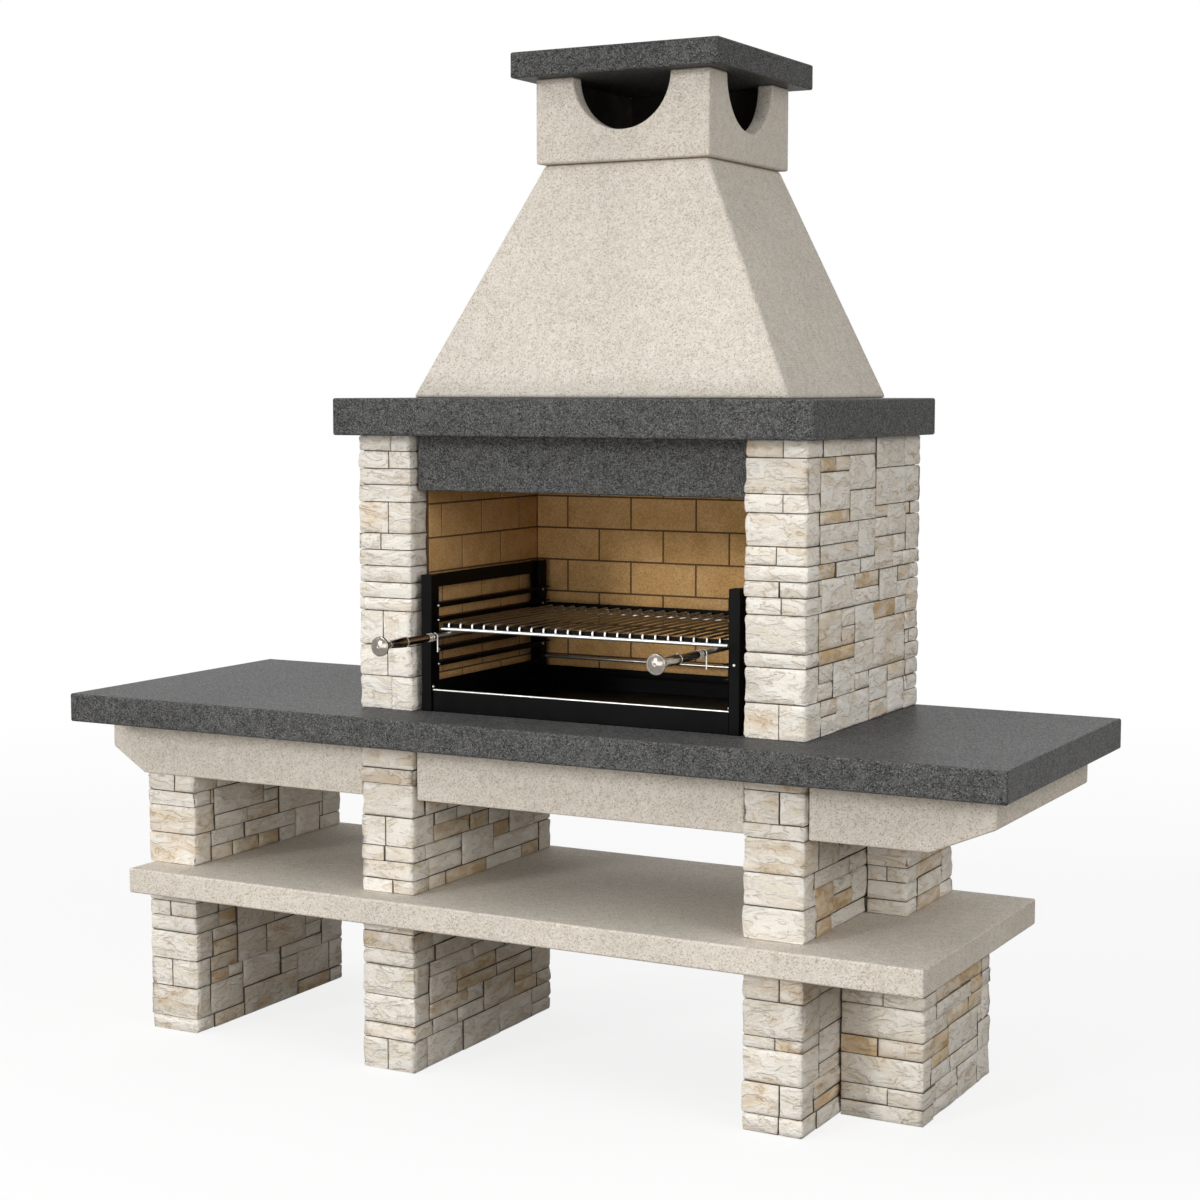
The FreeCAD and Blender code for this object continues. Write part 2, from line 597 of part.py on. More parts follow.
def build_cradle():
    """Posts, rails, screws, fender plates and tie rods of the steel cradle that stands in the firebox."""
    build_posts()
    build_screws()
    inner_length = "cradle_depth - 2 * post_depth"
    for side in SIDES:
        rail_x = across(side, f"{POST_INNER} + (post_width - top_rail_thickness) / 2",
                        f"{POST_INNER} + (post_width + top_rail_thickness) / 2")
        plate_x = across(side, POST_INNER, f"{POST_INNER} + plate_thickness")
        behind_post = f"{POST_FRONT} + post_depth"
        top_z = "worktop_height + post_height - top_rail_height"
        rail_size = ("top_rail_thickness", inner_length, "top_rail_height")
        plate_size = ("plate_thickness", inner_length, "side_plate_height")
        piece(block, f"{side}_top_rail", (rail_x, behind_post, top_z), rail_size)
        group(f"{side}_grill_rails", [grill_rail(side, step) for step in RAIL_STEPS])
        piece(block, f"{side}_side_plate", (plate_x, behind_post, "worktop_height"), plate_size)
    plate_length = f"2 * {POST_INNER}"
    plate_start = across("left", "0", POST_INNER)
    front_y = f"{POST_FRONT} + tie_rod_inset"
    rear_y = f"{POST_BACK} - tie_rod_inset"
    for end, middle_y in (("front", front_y), ("rear", rear_y)):
        plate_corner = (plate_start, f"{middle_y} - plate_thickness / 2", "worktop_height")
        piece(block, f"{end}_plate", plate_corner, (plate_length, "plate_thickness", f"{end}_plate_height"))
    front_place = (plate_start, front_y, "worktop_height + front_plate_height + front_rod_diameter / 2")
    rear_place = (plate_start, rear_y, "worktop_height + rear_rod_height")
    piece(rod, "front_tie_rod", front_place, plate_length, "front_rod_diameter", ALONG_X)
    piece(rod, "rear_tie_rod", rear_place, plate_length, "rear_rod_diameter", ALONG_X)


def build_ember_tray():
    """The loose pan for the embers inside the cradle."""
    half = f"({POST_INNER} - rail_flange - tray_gap)"
    front = f"({POST_FRONT} + tie_rod_inset + plate_thickness / 2 + tray_end_gap)"
    depth = "(cradle_depth - 2 * tie_rod_inset - plate_thickness - 2 * tray_end_gap)"
    bottom = "worktop_height + rest_gap"
    left = across("left", "0", half)
    inner_corner = (f"{left} + tray_sheet", f"{front} + tray_sheet", f"{bottom} + tray_sheet")
    inner_size = (f"2 * {half} - 2 * tray_sheet", f"{depth} - 2 * tray_sheet", "tray_height")
    pan = block("tray_outside", (left, front, bottom), (f"2 * {half}", depth, "tray_height"))
    piece(cut, "ember_tray", pan, block("tray_inside", inner_corner, inner_size))


def grill_wire(low_z, high_z, front, rear, bend, radius):
    """One wire: up from the front rod, back over the grill and down to the rear rod."""
    def at(along, up):
        """A point on the wire's own upright plane."""
        return FreeCAD.Vector(0, along, up)

    inside = bend * (1 - math.sqrt(0.5))
    edges = [
        Part.LineSegment(at(front, low_z), at(front, high_z - bend)),
        Part.Arc(at(front, high_z - bend), at(front + inside, high_z - inside), at(front + bend, high_z)),
        Part.LineSegment(at(front + bend, high_z), at(rear - bend, high_z)),
        Part.Arc(at(rear - bend, high_z), at(rear - inside, high_z - inside), at(rear, high_z - bend)),
        Part.LineSegment(at(rear, high_z - bend), at(rear, low_z)),
    ]
    path = Part.Wire([edge.toShape() for edge in edges])
    circle = Part.Wire([Part.makeCircle(radius, at(front, low_z), FreeCAD.Vector(0, 0, 1))])
    return path.makePipeShell([circle], True, False)


def build_grill_wires():
    """The row of wires across the grill, spread evenly about its middle."""
    rod_top = number(f"{GRILL_ROD_Z} + grill_rod_diameter / 2")
    wire = grill_wire(rod_top, rod_top + number("wire_rise"), number(GRILL_FRONT), number(GRILL_REAR),
                      number("wire_bend"), number("wire_diameter") / 2)
    spacing = number("wire_spacing")
    steps = int(number(f"2 * ({GRILL_ROD_END} - wire_diameter)") / spacing)
    first = number("firebox_centre") - steps * spacing / 2
    places = [first + index * spacing for index in range(steps + 1)]
    wires = [wire.translated(FreeCAD.Vector(place_x, 0, 0)) for place_x in places]
    feature = doc.addObject("Part::Feature", "grill_wires")
    feature.Shape = Part.makeCompound(wires)
    feature.Placement = FreeCAD.Placement()
    node(feature, "grill_wires")


def turn(body, profile):
    """Turns an outline round its own upright axis."""
    turned = body.newObject("PartDesign::Revolution", f"{body.Label}_turned")
    turned.Profile = profile
    turned.ReferenceAxis = (turned.Profile[0], ["V_Axis"])
    turned.Angle = 360


def build_handle(side):
    """Side bar, sleeve, knob and wire clip of one handle."""
    middle = across(side, SIDE_BAR_X, SIDE_BAR_X)
    bar_length = f"{GRILL_REAR} + grill_rod_diameter / 2 - {SIDE_BAR_FRONT}"
    bar_start = (middle, SIDE_BAR_FRONT, SIDE_BAR_Z)
    piece(rod, f"{side}_side_bar", bar_start, bar_length, "side_bar_diameter", ALONG_Y)
    body = new_body(f"{side}_handle_sleeve", (middle, SLEEVE_FRONT, SIDE_BAR_Z))
    bore = "side_bar_diameter / 2 + bore_clearance"
    bottom = "sleeve_length - sleeve_bore_depth"
    tube_start = "sleeve_grip_length + sleeve_taper_length"
    profile = [("0", "0"), ("sleeve_neck_radius", "0"), ("sleeve_grip_radius", "sleeve_grip_length"),
               ("sleeve_tube_radius", tube_start), ("sleeve_tube_radius", "sleeve_length"),
               (bore, "sleeve_length"), (bore, bottom), ("0", bottom)]
    turn(body, outline(body, "XY_Plane", profile))
    rim_end = "knob_dome + knob_rim"
    disc = [("0", "0"), ("0.55 * knob_radius", "0.2 * knob_dome"), ("knob_radius", "knob_dome")]
    cone = [("knob_radius", rim_end), ("sleeve_neck_radius", "knob_length"), ("0", "knob_length")]
    knob = new_body(f"{side}_knob", (middle, KNOB_FRONT, SIDE_BAR_Z))
    turn(knob, outline(knob, "XY_Plane", disc + cone))
    ring_radius = "(side_bar_diameter / 2 + clip_wire_diameter / 2 + bore_clearance)"
    ring = doc.addObject("Part::Torus", f"{side}_clip_ring")
    bind(ring, Radius1=ring_radius, Radius2="clip_wire_diameter / 2")
    clip_y = f"{SLEEVE_BACK} + clip_gap"
    place(ring, (middle, clip_y, SIDE_BAR_Z), ALONG_Y)
    leg_foot = (f"{middle} + {ring_radius}", clip_y, f"{SIDE_BAR_Z} - clip_drop")
    leg = rod(f"{side}_clip_leg", leg_foot, "clip_drop", "clip_wire_diameter", FreeCAD.Rotation())
    clip = doc.addObject("Part::Fuse", f"{side}_handle_clip")
    clip.Base = ring
    clip.Tool = leg
    node(clip, f"{side}_handle_clip")


def build_grill():
    """The grill that lies on the rails, with its two handles."""
    rod_start = across("left", "0", GRILL_ROD_END)
    rod_length = f"2 * {GRILL_ROD_END}"
    for end, middle_y in (("front", GRILL_FRONT), ("rear", GRILL_REAR)):
        rod_place = (rod_start, middle_y, GRILL_ROD_Z)
        piece(rod, f"grill_{end}_rod", rod_place, rod_length, "grill_rod_diameter", ALONG_X)
    build_grill_wires()
    under_wires = "grill_rod_diameter + wire_rise - wire_diameter / 2"
    front_corner = (rod_start, f"{GRILL_FRONT} + wire_bend", f"{GRILL_ROD_Z} - grill_rod_diameter / 2")
    rear_corner = (rod_start, f"{GRILL_REAR} + wire_diameter / 2", f"{GRILL_ROD_Z} + grill_rod_diameter / 2")
    piece(block, "grill_front_bar", front_corner, (rod_length, "grill_bar_thickness", under_wires))
    piece(block, "grill_rear_bar", rear_corner, (rod_length, "grill_bar_thickness", "rear_bar_height"))
    for side in SIDES:
        build_handle(side)


def check_and_write():
    """Stops if anything failed, then writes one file for each node."""
    doc.recompute()
    faults = [item.Label for item in doc.Objects if {"Invalid", "Error"} & set(item.State)]
    faults += [item.Label for item in nodes if item.Shape.isNull() or not item.Shape.isValid()]
    if faults:
        raise RuntimeError(f"failed pieces: {faults}")
    os.makedirs("parts", exist_ok=True)
    for item in nodes:
        item.Shape.exportStep(os.path.join("parts", f"{item.Label}.step"))


fill_sheet()
build_legs()
build_shelf_and_worktop()
build_beams()
build_firebox()
build_mantel()
build_chimney()
build_cradle()
build_ember_tray()
build_grill()
check_and_write()
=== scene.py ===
"""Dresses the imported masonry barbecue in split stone, concrete, firebrick and steel, under studio light."""
import logging
import math
import random
from dataclasses import dataclass, field
from enum import Enum
from typing import Any, Iterable, Sequence

import bmesh
import bpy
from bmesh.types import BMEdge, BMesh, BMFace, BMVert
from bpy.types import ID, Material, Node, NodeSocket, NodeTree, Object
from mathutils import Matrix, Vector, noise


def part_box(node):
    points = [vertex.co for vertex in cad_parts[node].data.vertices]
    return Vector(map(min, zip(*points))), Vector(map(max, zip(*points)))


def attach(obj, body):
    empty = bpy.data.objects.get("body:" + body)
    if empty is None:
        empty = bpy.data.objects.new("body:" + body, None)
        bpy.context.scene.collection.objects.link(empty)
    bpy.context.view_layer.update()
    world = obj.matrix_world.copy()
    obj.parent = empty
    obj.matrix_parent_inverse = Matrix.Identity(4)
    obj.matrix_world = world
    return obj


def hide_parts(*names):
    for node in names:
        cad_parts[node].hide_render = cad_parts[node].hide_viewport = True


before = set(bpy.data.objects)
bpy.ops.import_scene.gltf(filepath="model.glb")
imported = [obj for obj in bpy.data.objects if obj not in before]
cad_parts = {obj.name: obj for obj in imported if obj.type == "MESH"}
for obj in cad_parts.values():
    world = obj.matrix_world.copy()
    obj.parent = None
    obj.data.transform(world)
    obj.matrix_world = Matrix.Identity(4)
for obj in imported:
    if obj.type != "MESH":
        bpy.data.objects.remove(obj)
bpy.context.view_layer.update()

MASONRY = "masonry"
GRILL = "grill"
EMBER_TRAY = "ember_tray_body"
MM = 0.001
BACKWARDS = Vector((0.0, 1.0, 0.0))
UPWARDS = Vector((0.0, 0.0, 1.0))
WHITE = "#FFFFFF"
Point = tuple[float, float, float]
Profile = Sequence[tuple[float, float]]
Inputs = dict[str | int, Any]
log = logging.getLogger("barbecue")


def linear(colour: str) -> tuple[float, float, float, float]:
    """Turns an sRGB hex colour to linear light.

    Args:
        colour: Six hex digits after a hash sign.

    Returns:
        Red, green, blue and an alpha of one.
    """
    parts = [int(colour[start:start + 2], 16) / 255.0 for start in (1, 3, 5)]
    light = [part / 12.92 if part <= 0.04045 else ((part + 0.055) / 1.055) ** 2.4 for part in parts]
    return (*light, 1.0)


def per_mm(size: float) -> float:
    """Texture scale at which one feature is about this many millimetres wide."""
    return 1000.0 / size


# A Mix node has inputs of the same name for numbers, vectors and colours, so they go by number.
SHARE, FROM_VECTOR, TO_VECTOR, FROM, TO = 0, 4, 5, 6, 7
VECTOR_MIX = {"output": 1, "data_type": "VECTOR"}
COLOUR_MIX = {"output": 2, "data_type": "RGBA"}
EASED = {"interpolation_type": "SMOOTHSTEP"}
# Noise seldom leaves this range.
NOISE_RANGE = {"From Min": 0.3, "From Max": 0.7}


def fill(node: Node, inputs: Inputs) -> None:
    """Sets or links the inputs of a node.

    Args:
        node: A node in its tree.
        inputs: Values, or output sockets to link, by the input's name or number.
    """
    for name, value in inputs.items():
        if isinstance(value, NodeSocket):
            node.id_data.links.new(value, node.inputs[name])
        else:
            node.inputs[name].default_value = value


def add_node(tree: NodeTree, kind: str, inputs: Inputs | None = None, output: str | int = 0,
             stops: Sequence[tuple[float, str]] = (), **settings: Any) -> NodeSocket:
    """Adds a shader node with its settings, and fills or links its inputs.

    Args:
        tree: Node tree that gets the node.
        kind: Blender's name of the node type, without the ShaderNode before it.
        inputs: Values or output sockets by the input's name or number.
        output: Name or number of the output that is wanted.
        stops: Places and hex colours of a colour ramp.
        settings: Properties of the node by name.

    Returns:
        The wanted output.
    """
    node = tree.nodes.new(f"ShaderNode{kind}")
    for name, value in settings.items():
        setattr(node, name, value)
    if stops:
        elements = node.color_ramp.elements
        while len(elements) < len(stops):
            elements.new(0.5)
        for element, (place, colour) in zip(elements, stops):
            element.position = place
            element.color = linear(colour)
    fill(node, inputs or {})
    return node.outputs[output]


MATERIALS: dict[str, Material] = {}


@dataclass(frozen=True)
class Finish:
    """A surface finish that makes its procedural material once."""

    name: str

    def material(self) -> Material:
        """Makes the finish's material at its first use.

        Returns:
            The material, which all pieces of this finish share.
        """
        if self.name not in MATERIALS:
            made = bpy.data.materials.new(self.name)
            made.use_nodes = True
            tree = made.node_tree
            place = add_node(tree, "TexCoord", output="Object")
            fill(tree.nodes["Principled BSDF"], self.paint(tree, place))
            MATERIALS[self.name] = made
        return MATERIALS[self.name]

    def paint(self, tree: NodeTree, place: NodeSocket) -> Inputs:
        """Adds the nodes of the finish.

        Args:
            tree: The material's node tree.
            place: Coordinates on the piece, in metres.

        Returns:
            What the shader's inputs get.
        """
        raise NotImplementedError


@dataclass(frozen=True)
class SplitStone(Finish):
    """Split-face limestone: cleft, so matt with wavy level scarps, and cream with ochre iron stains."""

    # The shade and bright colours go on the lower and higher terraces as painted shade and light; the scarps'
    # brown is partly iron stain and partly painted shade.
    shade: str = "#E9DDC9"
    cream: str = "#F7F0E4"
    bright: str = "#FCF8F0"
    scarp_stain_and_shade: str = "#B9A17D"
    stain_dark: str = "#C7A06A"
    stain: str = "#E3C799"
    stones_apart: float = 90.0
    flattening: float = 2.4
    scarp_mm: float = 62.0
    steps: float = 6.0
    step_mm: float = 1.3
    step_slope: float = 0.45
    chip_mm: float = 16.0
    chip_depth_mm: float = 3.2
    grit_mm: float = 3.5
    grit_depth_mm: float = 0.6
    blotch_mm: float = 70.0

    def paint(self, tree: NodeTree, place: NodeSocket) -> Inputs:
        """Draws terraces with brownish scarps between them, in each stone's own tone and share of ochre, with
        painted shade on the lower terraces and on the scarps.

        Args:
            tree: The material's node tree.
            place: Coordinates on the piece, in metres.

        Returns:
            What the shader's inputs get.
        """
        tone = add_node(tree, "Attribute", output="Fac", attribute_name="stone_tone")
        iron = add_node(tree, "Attribute", output="Fac", attribute_name="stone_iron")
        own = add_node(tree, "Math", {0: tone, 1: self.stones_apart}, operation="MULTIPLY")
        level = add_node(tree, "Mapping", {"Vector": place, "Scale": (1.0, 1.0, self.flattening)})
        here = {"Vector": level, "W": own}
        cleft = add_node(tree, "TexNoise", here | {
            "Scale": per_mm(self.scarp_mm), "Detail": 5.0, "Roughness": 0.52, "Distortion": 0.7},
            noise_dimensions="4D")
        blotch = add_node(tree, "TexNoise", here | {"Scale": per_mm(self.blotch_mm), "Detail": 4.0},
                          noise_dimensions="4D")
        chips = add_node(tree, "TexNoise", here | {
            "Scale": per_mm(self.chip_mm), "Detail": 5.0, "Roughness": 0.62, "Distortion": 0.6},
            noise_dimensions="4D")
        grit = add_node(tree, "TexNoise", {"Vector": place, "Scale": per_mm(self.grit_mm), "Detail": 3.0})
        terrace = add_node(tree, "Math", {0: cleft, 1: self.steps}, operation="MULTIPLY")
        rest = add_node(tree, "Math", {0: terrace}, operation="FRACT")
        whole = add_node(tree, "Math", {0: terrace}, operation="FLOOR")
        scarp = add_node(tree, "MapRange", {"Value": rest, "From Min": 0.66, "From Max": 1.0}, **EASED)
        slope = add_node(tree, "Math", {0: rest, 1: self.step_slope}, operation="MULTIPLY")
        stepped = add_node(tree, "Math", {0: whole, 1: scarp}, operation="ADD")
        height = add_node(tree, "Math", {0: stepped, 1: slope}, operation="ADD")
        # The colour follows the terraces' noise: painted shade on the lower terraces, painted light on the
        # higher ones.
        pale = add_node(tree, "ValToRGB", {"Fac": cleft}, stops=(
            (0.32, self.shade), (0.46, self.cream), (0.66, self.bright)))
        ochre = add_node(tree, "ValToRGB", {"Fac": cleft}, stops=(
            (0.36, self.stain_dark), (0.62, self.stain)))
        stained = add_node(tree, "Math", {0: blotch, 1: iron}, operation="ADD")
        share = add_node(tree, "MapRange", {
            "Value": stained, "From Min": 0.56, "From Max": 1.22, "To Min": 0.0, "To Max": 0.95}, **EASED)
        coloured = add_node(tree, "Mix", {SHARE: share, FROM: pale, TO: ochre}, **COLOUR_MIX)
        rusty = add_node(tree, "MapRange", {
            "Value": blotch, "From Min": 0.44, "From Max": 0.68, "To Min": 0.05, "To Max": 0.6}, **EASED)
        # Brown lines on the scarps: painted shade in the creases, only where the rust blotches lie, so partly
        # iron stain.
        line = add_node(tree, "Math", {0: scarp, 1: rusty}, operation="MULTIPLY")
        scarp_shaded = add_node(tree, "Mix", {SHARE: line, FROM: coloured, TO: linear(self.scarp_stain_and_shade)}, **COLOUR_MIX)
        weight = add_node(tree, "MapRange", {"Value": tone, "To Min": 0.93, "To Max": 1.05})
        speck = add_node(tree, "MapRange", {"Value": grit, **NOISE_RANGE, "To Min": 0.91, "To Max": 1.04})
        value = add_node(tree, "Math", {0: weight, 1: speck}, operation="MULTIPLY")
        final = add_node(tree, "HueSaturation", {"Value": value, "Color": scarp_shaded})
        cut = add_node(tree, "Bump", {"Height": height, "Strength": 1.0, "Distance": self.step_mm * MM})
        chipped = add_node(tree, "Bump", {
            "Height": chips, "Strength": 1.0, "Distance": self.chip_depth_mm * MM, "Normal": cut})
        grain = add_node(tree, "Bump", {
            "Height": grit, "Strength": 0.5, "Distance": self.grit_depth_mm * MM, "Normal": chipped})
        return {"Base Color": final, "Normal": grain, "Roughness": 0.88, "Specular IOR Level": 0.25}


@dataclass(frozen=True)
class LooseGrain(Finish):
    """A face of loose grains, as sand or as the flue's painted shade: matt and powdery, in two tones of one
    colour.
    """

    low: str
    high: str
    grain_mm: float = 2.5
    detail: float = 4.0
    low_at: float = 0.35
    high_at: float = 0.65
    relief: float = 0.7
    relief_mm: float = 1.0
    rough: float = 0.95

    def paint(self, tree: NodeTree, place: NodeSocket) -> Inputs:
        """Draws the grains in both tones and raises them.

        Args:
            tree: The material's node tree.
            place: Coordinates on the piece, in metres.

        Returns:
            What the shader's inputs get.
        """
        grains = add_node(tree, "TexNoise", {
            "Vector": place, "Scale": per_mm(self.grain_mm), "Detail": self.detail})
        colour = add_node(tree, "ValToRGB", {"Fac": grains}, stops=(
            (self.low_at, self.low), (self.high_at, self.high)))
        bump = add_node(tree, "Bump", {
            "Height": grains, "Strength": self.relief, "Distance": self.relief_mm * MM})
        return {"Base Color": colour, "Normal": bump, "Roughness": self.rough}


@dataclass(frozen=True)
class CastConcrete(Finish):
    """Washed cast concrete: a cement paste with fine sand grains of other colours and small open pits."""

    paste_low: str = "#4A4A4A"
    paste_high: str = "#616161"
    pale_grain: str = "#858583"
    dark_grain: str = "#161616"
    grain_mm: float = 2.7
    grain_bend: float = 0.0022
    pale_share: float = 0.5
    dark_share: float = 0.5
    cloud_mm: float = 22.0
    cloud_depth_mm: float = 1.2
    pit_mm: float = 1.0
    broad_mm: float = 320.0
    rough: float = 0.4
    smoother: float = 0.1
    rougher: float = 0.12
    specular: float = 0.02

    def paint(self, tree: NodeTree, place: NodeSocket) -> Inputs:
        """Makes single cells the grains, each pale, dark or as the paste, which has clouds and broad tones.

        Args:
            tree: The material's node tree.
            place: Coordinates on the piece, in metres.

        Returns:
            What the shader's inputs get.
        """
        grain_scale = per_mm(self.grain_mm)
        warp = add_node(tree, "TexNoise", {"Vector": place, "Scale": grain_scale, "Detail": 2.0}, "Color")
        bent = add_node(tree, "Mix", {
            SHARE: self.grain_bend, FROM_VECTOR: place, TO_VECTOR: warp}, **VECTOR_MIX)
        cell = add_node(tree, "TexVoronoi", {"Vector": bent, "Scale": grain_scale}, "Color")
        chance = add_node(tree, "SeparateColor", {"Color": cell})
        cloud = add_node(tree, "TexNoise", {
            "Vector": place, "Scale": per_mm(self.cloud_mm), "Detail": 6.0, "Roughness": 0.65})
        broad = add_node(tree, "TexNoise", {"Vector": place, "Scale": per_mm(self.broad_mm), "Detail": 2.0})
        inside = add_node(tree, "MapRange", {
            "Value": cell.node.outputs["Distance"], "From Min": 0.35, "From Max": 0.7,
            "To Min": 1.0, "To Max": 0.0})
        colour = add_node(tree, "ValToRGB", {"Fac": cloud}, stops=(
            (0.34, self.paste_low), (0.66, self.paste_high)))
        for grain, none, full in ((self.pale_grain, 1.0 - self.pale_share, 1.0),
                                  (self.dark_grain, self.dark_share, 0.0)):
            picked = add_node(tree, "MapRange", {"Value": chance, "From Min": none, "From Max": full})
            here = add_node(tree, "Math", {0: picked, 1: inside}, operation="MULTIPLY")
            colour = add_node(tree, "Mix", {SHARE: here, FROM: colour, TO: linear(grain)}, **COLOUR_MIX)
        value = add_node(tree, "MapRange", {"Value": broad, **NOISE_RANGE, "To Min": 0.94, "To Max": 1.06})
        final = add_node(tree, "HueSaturation", {"Value": value, "Color": colour})
        # The dark grains, which the loop picks last, are the pits.
        pits = add_node(tree, "Bump", {
            "Height": here, "Strength": 0.8, "Distance": self.pit_mm * MM}, invert=True)
        uneven = add_node(tree, "Bump", {
            "Height": cloud, "Strength": 0.5, "Distance": self.cloud_depth_mm * MM, "Normal": pits})
        roughness = add_node(tree, "MapRange", {
            "Value": cloud, "To Min": self.rough - self.smoother, "To Max": self.rough + self.rougher})
        return {"Base Color": final, "Normal": uneven, "Roughness": roughness,
                "Specular IOR Level": self.specular}


@dataclass(frozen=True)
class Firebrick(Finish):
    """Pressed refractory clay: matt buff with brown specks and a sandy skin, each brick a little apart."""

    clay: str = "#D3A76E"
    pale: str = "#DAAF78"
    burnt: str = "#CB9F65"
    bricks_apart: float = 70.0
    sand_mm: float = 3.2
    sand_depth_mm: float = 0.7
    cloud_mm: float = 45.0

    def paint(self, tree: NodeTree, place: NodeSocket) -> Inputs:
        """Draws sandy clay clouded with paler and burnt patches.

        Args:
            tree: The material's node tree.
            place: Coordinates on the piece, in metres.

        Returns:
            What the shader's inputs get.
        """
        tone = add_node(tree, "Attribute", output="Fac", attribute_name="brick_tone")
        own = add_node(tree, "Math", {0: tone, 1: self.bricks_apart}, operation="MULTIPLY")
        cloud = add_node(tree, "TexNoise", {
            "Vector": place, "W": own, "Scale": per_mm(self.cloud_mm), "Detail": 6.0}, noise_dimensions="4D")
        sand = add_node(tree, "TexNoise", {"Vector": place, "Scale": per_mm(self.sand_mm), "Detail": 3.0})
        clay = add_node(tree, "ValToRGB", {"Fac": cloud}, stops=(
            (0.34, self.burnt), (0.48, self.clay), (0.68, self.pale)))
        weight = add_node(tree, "MapRange", {"Value": tone, "To Min": 0.94, "To Max": 1.08})
        speck = add_node(tree, "MapRange", {"Value": sand, **NOISE_RANGE, "To Min": 0.74, "To Max": 1.22})
        value = add_node(tree, "Math", {0: weight, 1: speck}, operation="MULTIPLY")
        final = add_node(tree, "HueSaturation", {"Value": value, "Color": clay})
        bump = add_node(tree, "Bump", {"Height": sand, "Strength": 0.6, "Distance": self.sand_depth_mm * MM})
        return {"Base Color": final, "Normal": bump, "Roughness": 0.92, "Specular IOR Level": 0.2}


@dataclass(frozen=True)
class PowderCoat(Finish):
    """Black powder coat on steel: baked satin paint with a fine orange peel and a greyer, dusty bloom."""

    black: str = "#060606"
    bloom: str = "#0C0C0C"
    peel_mm: float = 2.2
    peel_depth_mm: float = 0.2
    dust_mm: float = 70.0

    def paint(self, tree: NodeTree, place: NodeSocket) -> Inputs:
        """Draws the peel about twice its real width, because it would not show at the camera's distance.

        Args:
            tree: The material's node tree.
            place: Coordinates on the piece, in metres.

        Returns:
            What the shader's inputs get.
        """
        peel = add_node(tree, "TexNoise", {"Vector": place, "Scale": per_mm(self.peel_mm), "Detail": 1.0})
        dust = add_node(tree, "TexNoise", {"Vector": place, "Scale": per_mm(self.dust_mm), "Detail": 5.0})
        colour = add_node(tree, "ValToRGB", {"Fac": dust}, stops=((0.42, self.black), (0.75, self.bloom)))
        roughness = add_node(tree, "MapRange", {"Value": dust, **NOISE_RANGE, "To Min": 0.28, "To Max": 0.4})
        bump = add_node(tree, "Bump", {"Height": peel, "Strength": 0.25, "Distance": self.peel_depth_mm * MM})
        return {"Base Color": colour, "Normal": bump, "Roughness": roughness, "Specular IOR Level": 0.05}


@dataclass(frozen=True)
class BareSteel(Finish):
    """Bare stainless or zinc-plated steel: bright metal whose drawing marks run along one axis."""

    metal: str = "#C8C7C4"
    dull: str = "#B4B2AE"
    mark_mm: float = 1.6
    mark_depth_mm: float = 0.05
    stretch: Point = (1.0, 1.0, 1.0)
    rough_low: float = 0.28
    rough_high: float = 0.46

    def paint(self, tree: NodeTree, place: NodeSocket) -> Inputs:
        """Lets marks change roughness and tone; they are drawn coarser than real ones so that they show.

        Args:
            tree: The material's node tree.
            place: Coordinates on the piece, in metres.

        Returns:
            What the shader's inputs get.
        """
        drawn = add_node(tree, "Mapping", {"Vector": place, "Scale": self.stretch})
        marks = add_node(tree, "TexNoise", {"Vector": drawn, "Scale": per_mm(self.mark_mm), "Detail": 4.0})
        colour = add_node(tree, "ValToRGB", {"Fac": marks}, stops=((0.3, self.dull), (0.62, self.metal)))
        roughness = add_node(tree, "MapRange", {
            "Value": marks, **NOISE_RANGE, "To Min": self.rough_high, "To Max": self.rough_low})
        bump = add_node(tree, "Bump", {
            "Height": marks, "Strength": 0.06, "Distance": self.mark_depth_mm * MM})
        return {"Base Color": colour, "Normal": bump, "Roughness": roughness, "Metallic": 1.0}


@dataclass(frozen=True)
class EndHighlitWire(BareSteel):
    """Drawn stainless wire with a painted highlight: bright at its hooked ends, and a darker grey along its
    middle.
    """

    darker_middle: str = "#8F8B85"
    front: float = -0.2
    rear: float = 0.3
    bright_end: float = 18 * MM
    highlight_fade_from: float = 0.5
    highlight_fade_full: float = 2.0

    def paint(self, tree: NodeTree, place: NodeSocket) -> Inputs:
        """Draws bare steel whose colour goes over to the darker middle colour away from both ends, which keep
        a painted highlight.

        Args:
            tree: The material's node tree.
            place: Coordinates on the piece, in metres.

        Returns:
            What the shader's inputs get.
        """
        inputs = super().paint(tree, place)
        along = add_node(tree, "SeparateXYZ", {"Vector": place}, "Y")
        off_front_highlight, off_rear_highlight = [
            add_node(tree, "MapRange", {"Value": along, "From Min": end + inwards * self.highlight_fade_from,
                                        "From Max": end + inwards * self.highlight_fade_full}, **EASED)
            for end, inwards in ((self.front, self.bright_end), (self.rear, -self.bright_end))]
        # The bright ends are a painted highlight; away from them the colour goes over to the darker grey.
        share = add_node(tree, "Math", {0: off_front_highlight, 1: off_rear_highlight}, operation="MULTIPLY")
        inputs["Base Color"] = add_node(tree, "Mix", {
            SHARE: share, FROM: inputs["Base Color"], TO: linear(self.darker_middle)}, **COLOUR_MIX)
        return inputs


ALONG_X = (0.04, 1.0, 1.0)
ALONG_Y = (1.0, 0.04, 1.0)
STONE = SplitStone("split_limestone")
# Lime mortar raked back in the joints: sandy and darker than the stones. The stones' own sides set back in
# the joints take it too, as painted shade.
MORTAR_AND_JOINT_SHADE = LooseGrain("raked_lime_mortar_and_joint_shade", low="#51483D", high="#776B5C")
# Fireclay mortar browned by the fire: a thin dark line round each brick.
FIRE_JOINT = LooseGrain("burnt_fireclay_joint", low="#533E27", high="#725739")
